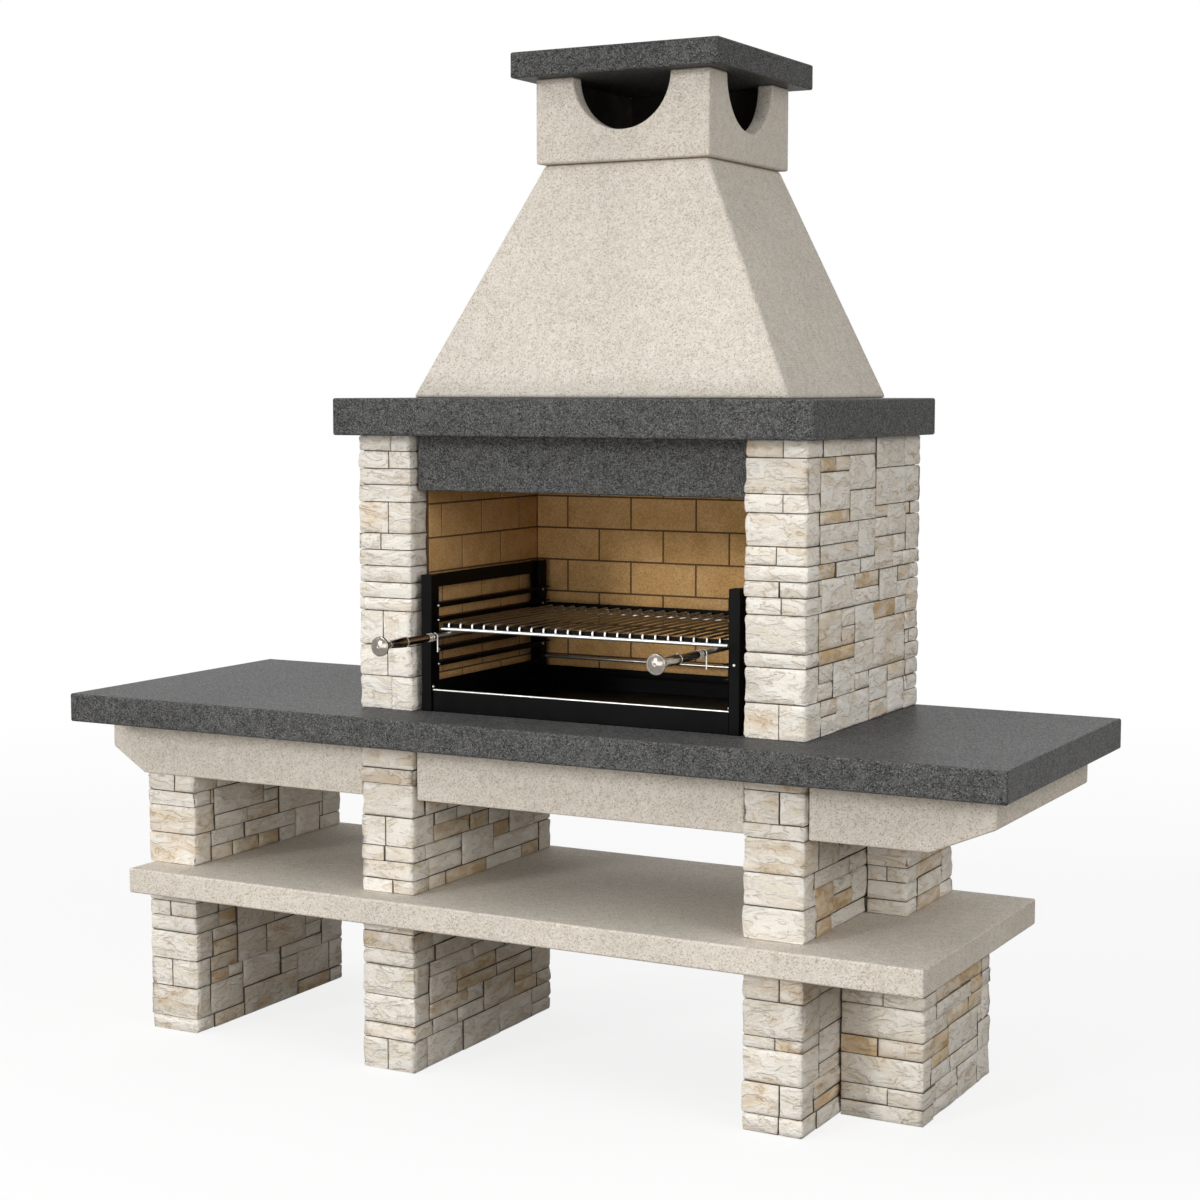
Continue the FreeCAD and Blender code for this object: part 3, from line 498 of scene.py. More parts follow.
# Painted shade on the inside of the flue: concrete coloured matt black with brownish clouds.
FLUE_SHADE = LooseGrain("flue_concrete_painted_shade", low="#171513", high="#3D352C", grain_mm=60.0, detail=6.0,
                  low_at=0.4, high_at=0.72, relief=0.4, rough=0.97)
DARK_CONCRETE = CastConcrete("washed_anthracite_concrete")
BEIGE_CONCRETE = CastConcrete(
    "washed_beige_concrete", paste_low="#D5CDC0", paste_high="#E3DCD1", pale_grain="#F1EADF",
    dark_grain="#B2A28D", grain_mm=2.8, pale_share=0.4, dark_share=0.42, rough=0.8, specular=0.3)
BRICK = Firebrick("pressed_firebrick")
BLACK_STEEL = PowderCoat("black_powder_coat")
CROSS_ROD = BareSteel("drawn_stainless_across", stretch=ALONG_X)
LONG_ROD = BareSteel("drawn_stainless_lengthwise", stretch=ALONG_Y)
# Turned and polished steel mirror the room; their colours are set darker than drawn steel as a painted
# reflection of its darker parts, and they show soft bright bands.
TURNED = BareSteel("turned_stainless", metal="#8E8880", dull="#7F7A73", mark_mm=9.0, rough_low=0.14,
                   rough_high=0.2)
POLISHED = BareSteel("polished_stainless", metal="#ADA8A0", dull="#9D9890", mark_mm=9.0, stretch=ALONG_Y,
                     rough_low=0.17, rough_high=0.24)
ZINC = BareSteel("zinc_plate", metal="#CFCFCA", dull="#A9A9A4", rough_low=0.22, rough_high=0.4)


class Side(Enum):
    """Upright faces of a block: the axis that a face looks along, and which way."""

    LEFT = (0, -1)
    RIGHT = (0, 1)
    FRONT = (1, -1)
    BACK = (1, 1)

    @property
    def axis(self) -> int:
        """Number of the axis that the face looks along."""
        return self.value[0]

    @property
    def run(self) -> int:
        """Number of the level axis that the face runs along."""
        return 1 - self.axis

    @property
    def sign(self) -> int:
        """Minus one for the low face and one for the high face."""
        return self.value[1]


Stone = tuple[Vector, Vector, tuple[Side, ...]]
# Points this close are one. Faces that meet at less than FLAT are one face, and at less than CURVED a round
# one. Turned pieces have a hard edge from CREASE on, and two sides of a stone meet at more than CORNER.
MERGE = 0.00001
FLAT = math.radians(0.4)
CURVED = math.radians(26.0)
CREASE = math.radians(38.0)
CORNER = 1.0
HEIGHT_AXIS = 2
SORTED_AXES = (2, 0, 1)
SORTED_DIGITS = 4


def placed(name: str, data: ID) -> Object:
    """Puts a new object at the origin of the scene.

    Args:
        name: Name of the object.
        data: Its mesh, lamp or camera.

    Returns:
        The object.
    """
    made = bpy.data.objects.new(name, data)
    bpy.context.scene.collection.objects.link(made)
    return made


def hand_over(bm: BMesh, name: str, finishes: Sequence[Finish], body: str,
              nodes: Sequence[str]) -> None:
    """Turns a bmesh to a piece that rides on its body in place of CAD nodes.

    Args:
        bm: The shape, which is freed.
        name: Name of the piece.
        finishes: Finishes in the order of the faces' material numbers.
        body: Body that the piece rides on.
        nodes: CAD nodes that the piece stands for.
    """
    mesh = bpy.data.meshes.new(name)
    bm.to_mesh(mesh)
    bm.free()
    if "custom_normal" in mesh.attributes:
        mesh.attributes.remove(mesh.attributes["custom_normal"])
    for finish in finishes:
        mesh.materials.append(finish.material())
    piece = placed(name, mesh)
    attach(piece, body)
    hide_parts(*nodes)
    log.info("%s stands for %s: %d faces", piece.name, ", ".join(nodes), len(mesh.polygons))


def coat(nodes: Iterable[str], finish: Finish) -> None:
    """Gives CAD nodes whose shape is right their finish.

    Args:
        nodes: Names of the CAD nodes.
        finish: Finish for all of them.
    """
    for name in nodes:
        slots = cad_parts[name].data.materials
        slots.clear()
        slots.append(finish.material())
        log.info("%s keeps its CAD shape in %s", name, finish.name)


def corners(points: Iterable[Vector]) -> tuple[Vector, Vector]:
    """Lowest and highest corner of the box round some points."""
    axes = list(zip(*points))
    return Vector([min(axis) for axis in axes]), Vector([max(axis) for axis in axes])


def box_of(nodes: Iterable[str]) -> tuple[Vector, Vector]:
    """Lowest and highest corner of several CAD nodes together."""
    return corners(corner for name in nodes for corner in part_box(name))


def add_box(bm: BMesh, low: Vector, high: Vector) -> list[BMVert]:
    """Adds a box between two corners to a bmesh and gives back its vertices."""
    matrix = Matrix.LocRotScale((low + high) / 2, None, high - low)
    return bmesh.ops.create_cube(bm, size=1.0, matrix=matrix)["verts"]


def faces_at(verts: Iterable[BMVert]) -> set[BMFace]:
    """All faces at some vertices."""
    return {face for vert in verts for face in vert.link_faces}


def edges_at(verts: Iterable[BMVert]) -> list[BMEdge]:
    """All edges at some vertices."""
    return list(dict.fromkeys(edge for vert in verts for edge in vert.link_edges))


def edge_axis(edge: BMEdge) -> int:
    """Axis that an edge of a box runs along."""
    run = edge.verts[1].co - edge.verts[0].co
    return max(range(3), key=lambda axis: abs(run[axis]))


def lies_on(edge: BMEdge, axis: int, plane: float) -> bool:
    """Whether an edge lies on a plane across an axis."""
    return all(abs(vert.co[axis] - plane) < MERGE for vert in edge.verts)


def round_edges(bm: BMesh, edges: list[BMEdge], radius: float, segments: int) -> None:
    """Rounds edges and shades the new faces smooth.

    Args:
        bm: The shape.
        edges: Edges of it.
        radius: Rounding in metres.
        segments: Steps of the rounding.
    """
    made = bmesh.ops.bevel(bm, geom=edges, offset=radius, offset_type="OFFSET", segments=segments,
                           profile=0.5, affect="EDGES", clamp_overlap=True, material=-1)
    for face in made["faces"]:
        face.smooth = True


def copied(node: str) -> BMesh:
    """Copies a CAD node's mesh and merges its loose triangles.

    Args:
        node: Name of the CAD node.

    Returns:
        The copy.
    """
    bm = bmesh.new()
    bm.from_mesh(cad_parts[node].data)
    bmesh.ops.remove_doubles(bm, verts=bm.verts[:], dist=MERGE)
    return bm


def softened(node: str, radius: float, segments: int = 2) -> BMesh:
    """Copies a CAD node and rounds its sharp edges.

    Args:
        node: Name of the CAD node.
        radius: Rounding in metres.
        segments: Steps of the rounding.

    Returns:
        The copy, with flat faces flat and curved ones smooth.
    """
    bm = copied(node)
    bmesh.ops.dissolve_limit(bm, angle_limit=FLAT, verts=bm.verts[:], edges=bm.edges[:])
    for edge in bm.edges:
        edge.smooth = True
    for face in bm.faces:
        face.material_index = 0
        face.smooth = any(FLAT < edge.calc_face_angle(0.0) < CURVED for edge in face.edges)
    sharp = [edge for edge in bm.edges if edge.is_manifold and edge.calc_face_angle(0.0) > CURVED]
    round_edges(bm, sharp, radius, segments)
    return bm


def put_softened(nodes: Iterable[str], radius: float, ending: str, finish: Finish, body: str,
                 segments: int = 2) -> None:
    """Puts softened copies in place of CAD nodes.

    Args:
        nodes: Names of the CAD nodes.
        radius: Rounding in metres.
        ending: Last word of the new pieces' names.
        finish: Finish for all of them.
        body: Body that they ride on.
        segments: Steps of the rounding.
    """
    for name in nodes:
        hand_over(softened(name, radius, segments), f"{name}_{ending}", (finish,), body, (name,))


def islands(node: str) -> list[tuple[Vector, Vector]]:
    """Lowest and highest corner of each loose part of a CAD node.

    Args:
        node: Name of the CAD node.

    Returns:
        The parts' corners, from the lowest part to the highest.
    """
    bm = copied(node)
    left = set(bm.verts)
    found = []
    while left:
        heap = [min(left, key=lambda vert: vert.index)]
        seen = set(heap)
        while heap:
            for edge in heap.pop().link_edges:
                fresh = [vert for vert in edge.verts if vert not in seen]
                seen.update(fresh)
                heap += fresh
        left -= seen
        found.append(corners(vert.co for vert in seen))
    bm.free()
    return sorted(found, key=lambda part: [round(part[0][axis], SORTED_DIGITS) for axis in SORTED_AXES])


def turned(bm: BMesh, profile: Profile, start: Vector, axis: Vector, steps: int) -> None:
    """Turns a profile round a level axis.

    Args:
        bm: Shape that gets the turned piece.
        profile: Places along the axis and radii, in millimetres.
        start: Point on the axis at the profile's zero.
        axis: Direction of the axis.
        steps: Sides of the turned piece.
    """
    verts = [bm.verts.new(start + axis * (along * MM) + UPWARDS * (radius * MM)) for along, radius in profile]
    edges = [bm.edges.new(pair) for pair in zip(verts, verts[1:])]
    bmesh.ops.spin(bm, geom=verts + edges, cent=start, axis=axis, angle=math.tau, steps=steps, use_merge=True,
                   use_duplicate=False)


def close_turned(bm: BMesh) -> None:
    """Merges the seams and poles of turned pieces, points their faces outwards and shades them.

    Args:
        bm: Shape with nothing but turned and rounded pieces.
    """
    bmesh.ops.remove_doubles(bm, verts=bm.verts[:], dist=MERGE)
    bmesh.ops.recalc_face_normals(bm, faces=bm.faces[:])
    for face in bm.faces:
        face.smooth = True
    for edge in bm.edges:
        edge.smooth = edge.calc_face_angle(0.0) < CREASE


@dataclass
class StoneBlock:
    """A leg or pier of split stones: wrapped corner stones at its ends, random ashlar on its long faces."""

    name: str
    nodes: tuple[str, ...]
    long_faces: tuple[Side, ...]
    seed: int
    inner_face: Side | None = None
    front_return: float | None = None
    rear_low_x: float | None = None
    rear_high_x: float | None = None
    row_height: float = 36 * MM
    row_shift: float = 0.14
    unit: float = 12 * MM
    bed_joint: float = 1.9 * MM
    end_joint: float = 3.4 * MM
    veneer: float = 30 * MM
    bed_depth: float = 14 * MM
    edge: float = 6.0 * MM
    edge_change: tuple[float, float] = (0.75, 1.25)
    edge_segments: int = 2
    relief: float = 5.0 * MM
    pillow: float = 2.6 * MM
    pillow_width: float = 18 * MM
    sink: float = 2.6 * MM
    tilt: float = 1.3 * MM
    least_depth: float = 0.2 * MM
    edge_fall: float = 0.6
    noise_reach: float = 50.0
    ridges: Point = (17.0, 17.0, 38.0)
    ridge_fractal: tuple[float, float, int] = (0.9, 2.1, 3)
    ridge_middle: float = 0.42
    ridge_gain: float = 0.75
    row_pitch: float = 14 * MM
    column_pitch: float = 22 * MM
    double_share: float = 0.38
    split_share: float = 0.42
    split_place: tuple[float, float] = (0.42, 0.62)
    corner_columns: tuple[int, int] = (5, 8)
    slack: float = 0.01
    narrowest: int = 6
    least_rest: int = 5
    longest: int = 18
    widest: int = 19
    upright: float = 0.8
    talls: tuple[int, ...] = (1, 1, 1, 2, 2)
    small_face: float = 0.0072
    small_iron: tuple[float, ...] = (0.0, 0.02, 0.06, 0.1, 0.34, 0.44, 0.5)
    large_iron: tuple[float, ...] = (-0.04, 0.0, 0.02, 0.06, 0.12, 0.24)
    rng: random.Random = field(init=False)
    low: Vector = field(init=False)
    high: Vector = field(init=False)
    rows: int = field(init=False)
    columns: int = field(init=False)
    step: float = field(init=False)
    levels: list[float] = field(init=False)

    def __post_init__(self) -> None:
        """Reads the block's box from its CAD nodes, seeds its own chance and sets out its rows and columns.
        """
        self.rng = random.Random(self.seed)
        self.low, self.high = box_of(self.nodes)
        length, tall = self.high.y - self.low.y, self.high.z - self.low.z
        self.rows = max(2, round(tall / self.row_height))
        unit = self.unit
        if self.front_return is not None:
            unit = self.front_return / round(self.front_return / self.unit)
        self.columns = math.floor(length / unit)
        self.step = length / self.columns
        height = tall / self.rows
        shifts = [self.rng.uniform(-self.row_shift, self.row_shift) for _ in range(self.rows - 1)]
        inner = [self.low.z + (row + shift) * height for row, shift in enumerate(shifts, 1)]
        self.levels = [self.low.z, *inner, self.high.z]

    def courses(self) -> list[tuple[int, int]]:
        """Picks courses of corner stones that are one or two rows high.

        Returns:
            First row and number of rows of each course.
        """
        found = []
        row = 0
        while row < self.rows:
            tall = min(2 if self.rng.random() < self.double_share else 1, self.rows - row)
            found.append((row, tall))
            row += tall
        return found

    def corner_stones(self, end: Side) -> tuple[list[Stone], dict[Side, list[int]]]:
        """Lays stones across one end of the block, which wrap round its corners.

        Args:
            end: Front or back.

        Returns:
            Lower and higher corner and shown faces of each stone, and the columns that each row takes on
            each side.
        """
        at_front = end is Side.FRONT
        low_x = self.low.x if at_front or self.rear_low_x is None else self.rear_low_x
        high_x = self.high.x if at_front or self.rear_high_x is None else self.rear_high_x
        taken = {side: [0] * self.rows for side in (Side.LEFT, Side.RIGHT)}
        stones = []
        for row, tall in self.courses():
            split = self.rng.random() < self.split_share
            middle = low_x + (high_x - low_x) * self.rng.uniform(*self.split_place)
            spans = [(low_x, middle, (Side.LEFT,)), (middle, high_x, (Side.RIGHT,))]
            if not split:
                spans = [(low_x, high_x, (Side.LEFT, Side.RIGHT))]
            for start, stop, sides in spans:
                depth = self.rng.randint(*self.corner_columns) * self.step
                if at_front and self.front_return is not None and self.inner_face in sides:
                    depth = self.front_return
                for side in sides:
                    taken[side][row:row + tall] = [math.ceil(depth / self.step - self.slack)] * tall
                near = self.low.y if at_front else self.high.y - depth
                low = Vector((start, near, self.levels[row]))
                high = Vector((stop, near + depth, self.levels[row + tall]))
                shown = (end, *(side for side in sides if side in self.long_faces or side is self.inner_face))
                stones.append((low, high, shown))
        return stones, taken

    def ashlar(self, side: Side, front: list[int], back: list[int]) -> list[Stone]:
        """Lays random ashlar on a long face between the corner stones of its two ends.

        Args:
            side: The long face.
            front: Columns that the front corner stones take in each row.
            back: Columns that the rear corner stones take in each row.

        Returns:
            Lower and higher corner and shown face of each stone.
        """
        free = [[front[row] <= column < self.columns - back[row] for column in range(self.columns)]
                for row in range(self.rows)]
        plane = self.low.x if side is Side.LEFT else self.high.x
        near, far = sorted((plane, plane - side.sign * self.veneer))
        stones = []
        for row in range(self.rows):
            column = 0
            while column < self.columns:
                if not free[row][column]:
                    column += 1
                    continue
                run = (free[row][column:] + [False]).index(False)
                wide = min(run, self.rng.randint(self.narrowest, self.widest))
                if run - wide < self.least_rest:
                    wide = run if run <= self.longest else run - self.narrowest
                flat = max(1, int(self.upright * wide * self.step / self.row_height))
                tall = min(flat, self.rng.choice(self.talls))
                stop = column + wide
                while tall > 1 and (row + tall > self.rows or not all(
                        all(free[row + up][column:stop]) for up in range(1, tall))):
                    tall -= 1
                for up in range(tall):
                    free[row + up][column:stop] = [False] * wide
                low = Vector((near, self.low.y + column * self.step, self.levels[row]))
                high = Vector((far, self.low.y + stop * self.step, self.levels[row + tall]))
                stones.append((low, high, (side,)))
                column = stop
        return stones

    def stone(self, low: Vector, high: Vector, shown: tuple[Side, ...]) -> BMesh:
        """Makes one split stone with cleft faces, pillowed towards rounded edges.

        Args:
            low: Lowest corner of its place, joints included.
            high: Highest corner of its place, joints included.
            shown: Faces that are cleft and stand at the block's outside.

        Returns:
            The closed stone.
        """
        low, high = low.copy(), high.copy()
        low.z += self.bed_joint / 2
        high.z -= self.bed_joint / 2
        for side in Side:
            if side not in shown:
                gap = self.bed_joint if side.axis == 0 else self.end_joint
                (high if side.sign > 0 else low)[side.axis] -= side.sign * gap / 2
        size = high - low
        bm = bmesh.new()
        add_box(bm, low, high)
        upright = [edge for edge in bm.edges if edge_axis(edge) == HEIGHT_AXIS]
        cuts = max(1, round(size.z / self.row_pitch) - 1)
        bmesh.ops.subdivide_edges(bm, edges=upright, cuts=cuts, use_grid_fill=True)
        planes = {side: (high if side.sign > 0 else low)[side.axis] for side in shown}
        for side, plane in planes.items():
            level = [edge for edge in bm.edges
                     if edge_axis(edge) == side.run and lies_on(edge, side.axis, plane)]
            cuts = max(1, round(size[side.run] / self.column_pitch) - 1)
            bmesh.ops.subdivide_edges(bm, edges=level, cuts=cuts, use_grid_fill=True)
        sharp = [edge for edge in bm.edges if edge.calc_face_angle(0.0) > CORNER
                 and any(lies_on(edge, side.axis, plane) for side, plane in planes.items())]
        radius = self.edge * self.rng.uniform(*self.edge_change)
        round_edges(bm, sharp, radius, self.edge_segments)
        # Faces set back in the joints beyond the rounding take the mortar colour as painted shade on the
        # stone's own sides.
        for face in bm.faces:
            face.smooth = True
            middle = face.calc_center_median()
            deep_in_joint = all(abs(middle[side.axis] - plane) > radius for side, plane in planes.items())
            face.material_index = 1 if deep_in_joint else 0
        self.cleave(bm, planes, low, high, radius)
        return bm

    def cleave(self, bm: BMesh, planes: dict[Side, float], low: Vector, high: Vector, radius: float) -> None:
        """Moves the shown faces inwards by wavy level ridges, a slight tilt and a pillowed border.

        Args:
            bm: The stone.
            planes: Place of each shown face on its axis.
            low: Lowest corner of the stone.
            high: Highest corner of the stone.
            radius: Rounding of its edges.
        """
        start = Vector([self.rng.uniform(-self.noise_reach, self.noise_reach) for _ in range(3)])
        tilt_along, tilt_up = [self.rng.uniform(-self.tilt, self.tilt) for _ in range(2)]
        sink = self.rng.uniform(0.0, self.sink)
        size = high - low
        for side, plane in planes.items():
            for vert in bm.verts:
                inside = abs(vert.co[side.axis] - plane)
                if inside > radius:
                    continue
                wave = noise.fractal(start + vert.co * Vector(self.ridges), *self.ridge_fractal)
                from_low, from_high = vert.co - low, high - vert.co
                border = min(from_low.z, from_high.z, from_low[side.run], from_high[side.run])
                rim = max(0.0, 1.0 - border / self.pillow_width)
                depth = sink + self.pillow * rim * rim
                depth += self.relief * min(1.0, max(0.0, self.ridge_middle - self.ridge_gain * wave))
                depth += tilt_along * (from_low[side.run] / size[side.run] - 0.5)
                depth += tilt_up * (from_low.z / size.z - 0.5)
                share = 1.0 - inside / radius * self.edge_fall
                vert.co[side.axis] -= side.sign * max(self.least_depth, depth) * share

    def build(self) -> None:
        """Lays all stones on a mortar core and dresses them, each with its own tone and share of iron."""
        bm = bmesh.new()
        tone = bm.faces.layers.float.new("stone_tone")
        iron = bm.faces.layers.float.new("stone_iron")
        front, front_taken = self.corner_stones(Side.FRONT)
        back, back_taken = self.corner_stones(Side.BACK)
        stones = front + back
        for side in self.long_faces:
            stones += self.ashlar(side, front_taken[side], back_taken[side])
        scratch = bpy.data.meshes.new("one_stone")
        for low, high, shown in stones:
            single = self.stone(low, high, shown)
            single.to_mesh(scratch)
            single.free()
            before = len(bm.faces)
            bm.from_mesh(scratch)
            own_tone = self.rng.random()
            small = (high.y - low.y) * (high.z - low.z) < self.small_face and len(shown) == 1
            own_iron = self.rng.choice(self.small_iron if small else self.large_iron)
            bm.faces.ensure_lookup_table()
            for face in bm.faces[before:]:
                face[tone] = own_tone
                face[iron] = own_iron
        bpy.data.meshes.remove(scratch)
        self.add_core(bm)
        hand_over(bm, self.name, (STONE, MORTAR_AND_JOINT_SHADE), MASONRY, self.nodes)

    def add_core(self, bm: BMesh) -> None:
        """Adds the mortar core, set in behind every shown face.

        Args:
            bm: Shape that holds the stones.
        """
        for name in self.nodes:
            low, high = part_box(name)
            for side in Side:
                if side in (*self.long_faces, Side.FRONT, Side.BACK, self.inner_face):
                    (high if side.sign > 0 else low)[side.axis] -= side.sign * self.bed_depth
            for face in faces_at(add_box(bm, low, high)):
                face.material_index = 1


@dataclass
class Stonework:
    """All legs and piers of the barbecue."""

    first_seed: int = 11
    pier_double_share: float = 0.36
    pier_widest: int = 17
    pier_talls: tuple[int, ...] = (1, 1, 2, 2, 2, 3)

    def blocks(self) -> list[StoneBlock]:
        """Sets out every block of split stone, with the faces that it shows.

        Returns:
            The legs from left to right, then the two piers.
        """
        both = (Side.LEFT, Side.RIGHT)
        found = []
        for leg, faces in (("left", both), ("middle", both), ("right", both), ("right_end", (Side.RIGHT,))):
            for level in ("lower", "upper"):
                name = f"{leg}_leg_{level}"
                found.append(StoneBlock(f"{name}_stones", (name,), faces, self.first_seed + len(found)))
        for side, face, inner in (("left", Side.LEFT, Side.RIGHT), ("right", Side.RIGHT, Side.LEFT)):
            nodes = (f"{side}_jamb", f"{side}_side_wall")
            jamb_low, jamb_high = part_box(nodes[0])
            wall_low, wall_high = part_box(nodes[1])
            found.append(StoneBlock(
                f"{side}_pier_stones", nodes, (face,), self.first_seed + len(found), inner_face=inner,
                front_return=jamb_high.y - jamb_low.y, rear_low_x=wall_low.x, rear_high_x=wall_high.x,
                double_share=self.pier_double_share, widest=self.pier_widest, talls=self.pier_talls))
        return found

    def build(self) -> None:
        """Lays every block."""
        for block in self.blocks():
            block.build()


@dataclass
class BrickLining:
    """The three brick walls of the firebox: each brick with worn edges, on a recessed mortar bed."""

    inner_faces: tuple[tuple[str, Side], ...] = (
        ("left_brick_lining", Side.RIGHT), ("right_brick_lining", Side.LEFT),
        ("rear_brick_lining", Side.FRONT))
    edge: float = 1.1 * MM
    edge_change: tuple[float, float] = (0.7, 1.3)
    edge_segments: int = 2
    wear: float = 1.0 * MM
    bed_depth: float = 1.2 * MM
    seed: int = 5

    def build(self) -> None:
        """Makes each wall's bricks and bed and dresses them."""
        rng = random.Random(self.seed)
        for node, inner in self.inner_faces:
            bm = bmesh.new()
            tone = bm.faces.layers.float.new("brick_tone")
            worn = UPWARDS * self.wear
            worn[inner.run] = self.wear
            for low, high in islands(node):
                verts = add_box(bm, low + worn, high - worn)
                edges = edges_at(verts)
                radius = self.edge * rng.uniform(*self.edge_change)
                own_tone = rng.random()
                for face in faces_at(verts):
                    face[tone] = own_tone
                round_edges(bm, edges, radius, self.edge_segments)
            low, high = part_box(node)
            (high if inner.sign > 0 else low)[inner.axis] -= inner.sign * self.bed_depth
            for face in faces_at(add_box(bm, low, high)):
                face.material_index = 1
            hand_over(bm, f"{node}_bricks", (BRICK, FIRE_JOINT), MASONRY, (node,))


@dataclass
class Castings:
    """Slabs, beams, lintel, rear wall, hood, crown and cap of cast concrete."""

    edge: float = 5 * MM
    hood_edge: float = 10 * MM
    beam_edge: float = 4 * MM
    edge_segments: int = 3
    crown_wall: float = 40 * MM
    level: float = 0.8
    dark: tuple[str, ...] = ("worktop_slab", "mantel_slab", "lintel", "chimney_cap")
    slabs: tuple[str, ...] = ("shelf_slab",)
    beams: tuple[str, ...] = (
        "left_front_beam", "left_rear_beam", "left_end_beam", "centre_front_beam", "centre_rear_beam",
        "right_front_beam", "right_rear_beam", "right_end_beam", "rear_wall")
    hood: str = "chimney_hood"
    crown: str = "chimney_crown"

    def build(self) -> None:
        """Dresses the slabs and makes the softened castings."""
        coat(self.dark, DARK_CONCRETE)
        coat(self.slabs, BEIGE_CONCRETE)
        put_softened(self.beams, self.beam_edge, "casting", BEIGE_CONCRETE, MASONRY,
                     self.edge_segments)
        for name, edge in ((self.hood, self.hood_edge), (self.crown, self.edge)):
            bm = softened(name, edge, self.edge_segments)
            self.paint_flue_shade(bm)
            hand_over(bm, f"{name}_casting", (BEIGE_CONCRETE, FLUE_SHADE), MASONRY, (name,))

    def paint_flue_shade(self, bm: BMesh) -> None:
        """Gives painted shade to the faces that look at the flue's axis, but not to the rims of the outlets.

        Args:
            bm: The hood or the crown.
        """
        low, high = corners(vert.co for vert in bm.verts)
        middle = (low + high) / 2
        bm.normal_update()
        for face in bm.faces:
            outwards = (face.calc_center_median() - middle).xy
            rim = min(high.x - middle.x - abs(outwards.x), high.y - middle.y - abs(outwards.y))
            inwards = face.normal.xy.dot(outwards) < 0.0 and abs(face.normal.z) < self.level
            if inwards and rim > self.crown_wall - self.edge / 2:
                face.material_index = 1


@dataclass
class Cradle:
    """The black steel cradle in the firebox, its bright tie rods and screws."""

    post_edge: float = 2.6 * MM
    post_segments: int = 4
    sheet_edge: float = 0.8 * MM
    sheet_segments: int = 2
    rail_edge: float = 0.7 * MM
    head_steps: int = 14
    # Places and radii on a domed socket head, as shares of its height and radius.
    head: Profile = ((0.0, 0.0), (0.0, 1.0), (0.35, 1.0), (0.8, 0.78), (1.0, 0.5), (1.0, 0.42), (0.5, 0.38),
                     (0.5, 0.0))
    posts: tuple[str, ...] = ("left_front_post", "left_rear_post", "right_front_post", "right_rear_post")
    sheets: tuple[str, ...] = ("left_top_rail", "right_top_rail", "left_side_plate", "right_side_plate",
                               "front_plate", "rear_plate")
    rails: tuple[str, ...] = ("left_grill_rails", "right_grill_rails")
    rods: tuple[str, ...] = ("front_tie_rod", "rear_tie_rod")
    screws: str = "cradle_screws"

    def build(self) -> None:
        """Makes the posts, sheets, rails and screws and dresses them with the rods."""
        for name in self.posts:
            low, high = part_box(name)
            bm = bmesh.new()
            add_box(bm, low, high)
            upright = [edge for edge in bm.edges if edge_axis(edge) == HEIGHT_AXIS]
            round_edges(bm, upright, self.post_edge, self.post_segments)
            rim = [edge for edge in bm.edges if lies_on(edge, HEIGHT_AXIS, high.z)]
            round_edges(bm, rim, self.sheet_edge, self.sheet_segments)
            hand_over(bm, f"{name}_tube", (BLACK_STEEL,), MASONRY, (name,))
        for names, edge in ((self.sheets, self.sheet_edge), (self.rails, self.rail_edge)):
            put_softened(names, edge, "steel", BLACK_STEEL, MASONRY)
        coat(self.rods, CROSS_ROD)
        self.make_screws()

    def make_screws(self) -> None:
        """Turns a domed socket head in place of each screw."""
        middle = sum(box_of(self.posts), Vector()) / 2
        bm = bmesh.new()
        for low, high in islands(self.screws):
            size = high - low
            centre = (low + high) / 2
            thin = min(range(3), key=lambda axis: size[axis])
            outwards = Vector()
            outwards[thin] = 1.0 if centre[thin] < middle[thin] and thin == 0 else -1.0
            height, radius = size[thin] / MM, size.z / 2 / MM
            profile = [(height * place, radius * out) for place, out in self.head]
            turned(bm, profile, centre - outwards * (size[thin] / 2), outwards, self.head_steps)
        close_turned(bm)
        hand_over(bm, "cradle_socket_screws", (ZINC,), MASONRY, (self.screws,))


@dataclass
class EmberTray:
    """The loose pan for the embers."""

    node: str = "ember_tray"
    edge: float = 1.0 * MM

    def build(self) -> None:
        """Makes the pan with rounded sheet edges."""
        put_softened((self.node,), self.edge, "pan", BLACK_STEEL, EMBER_TRAY)


def moved(profile: Profile, along: float, out: float) -> list[tuple[float, float]]:
    """A profile moved along its axis and away from it."""
    return [(place + along, radius + out) for place, radius in profile]


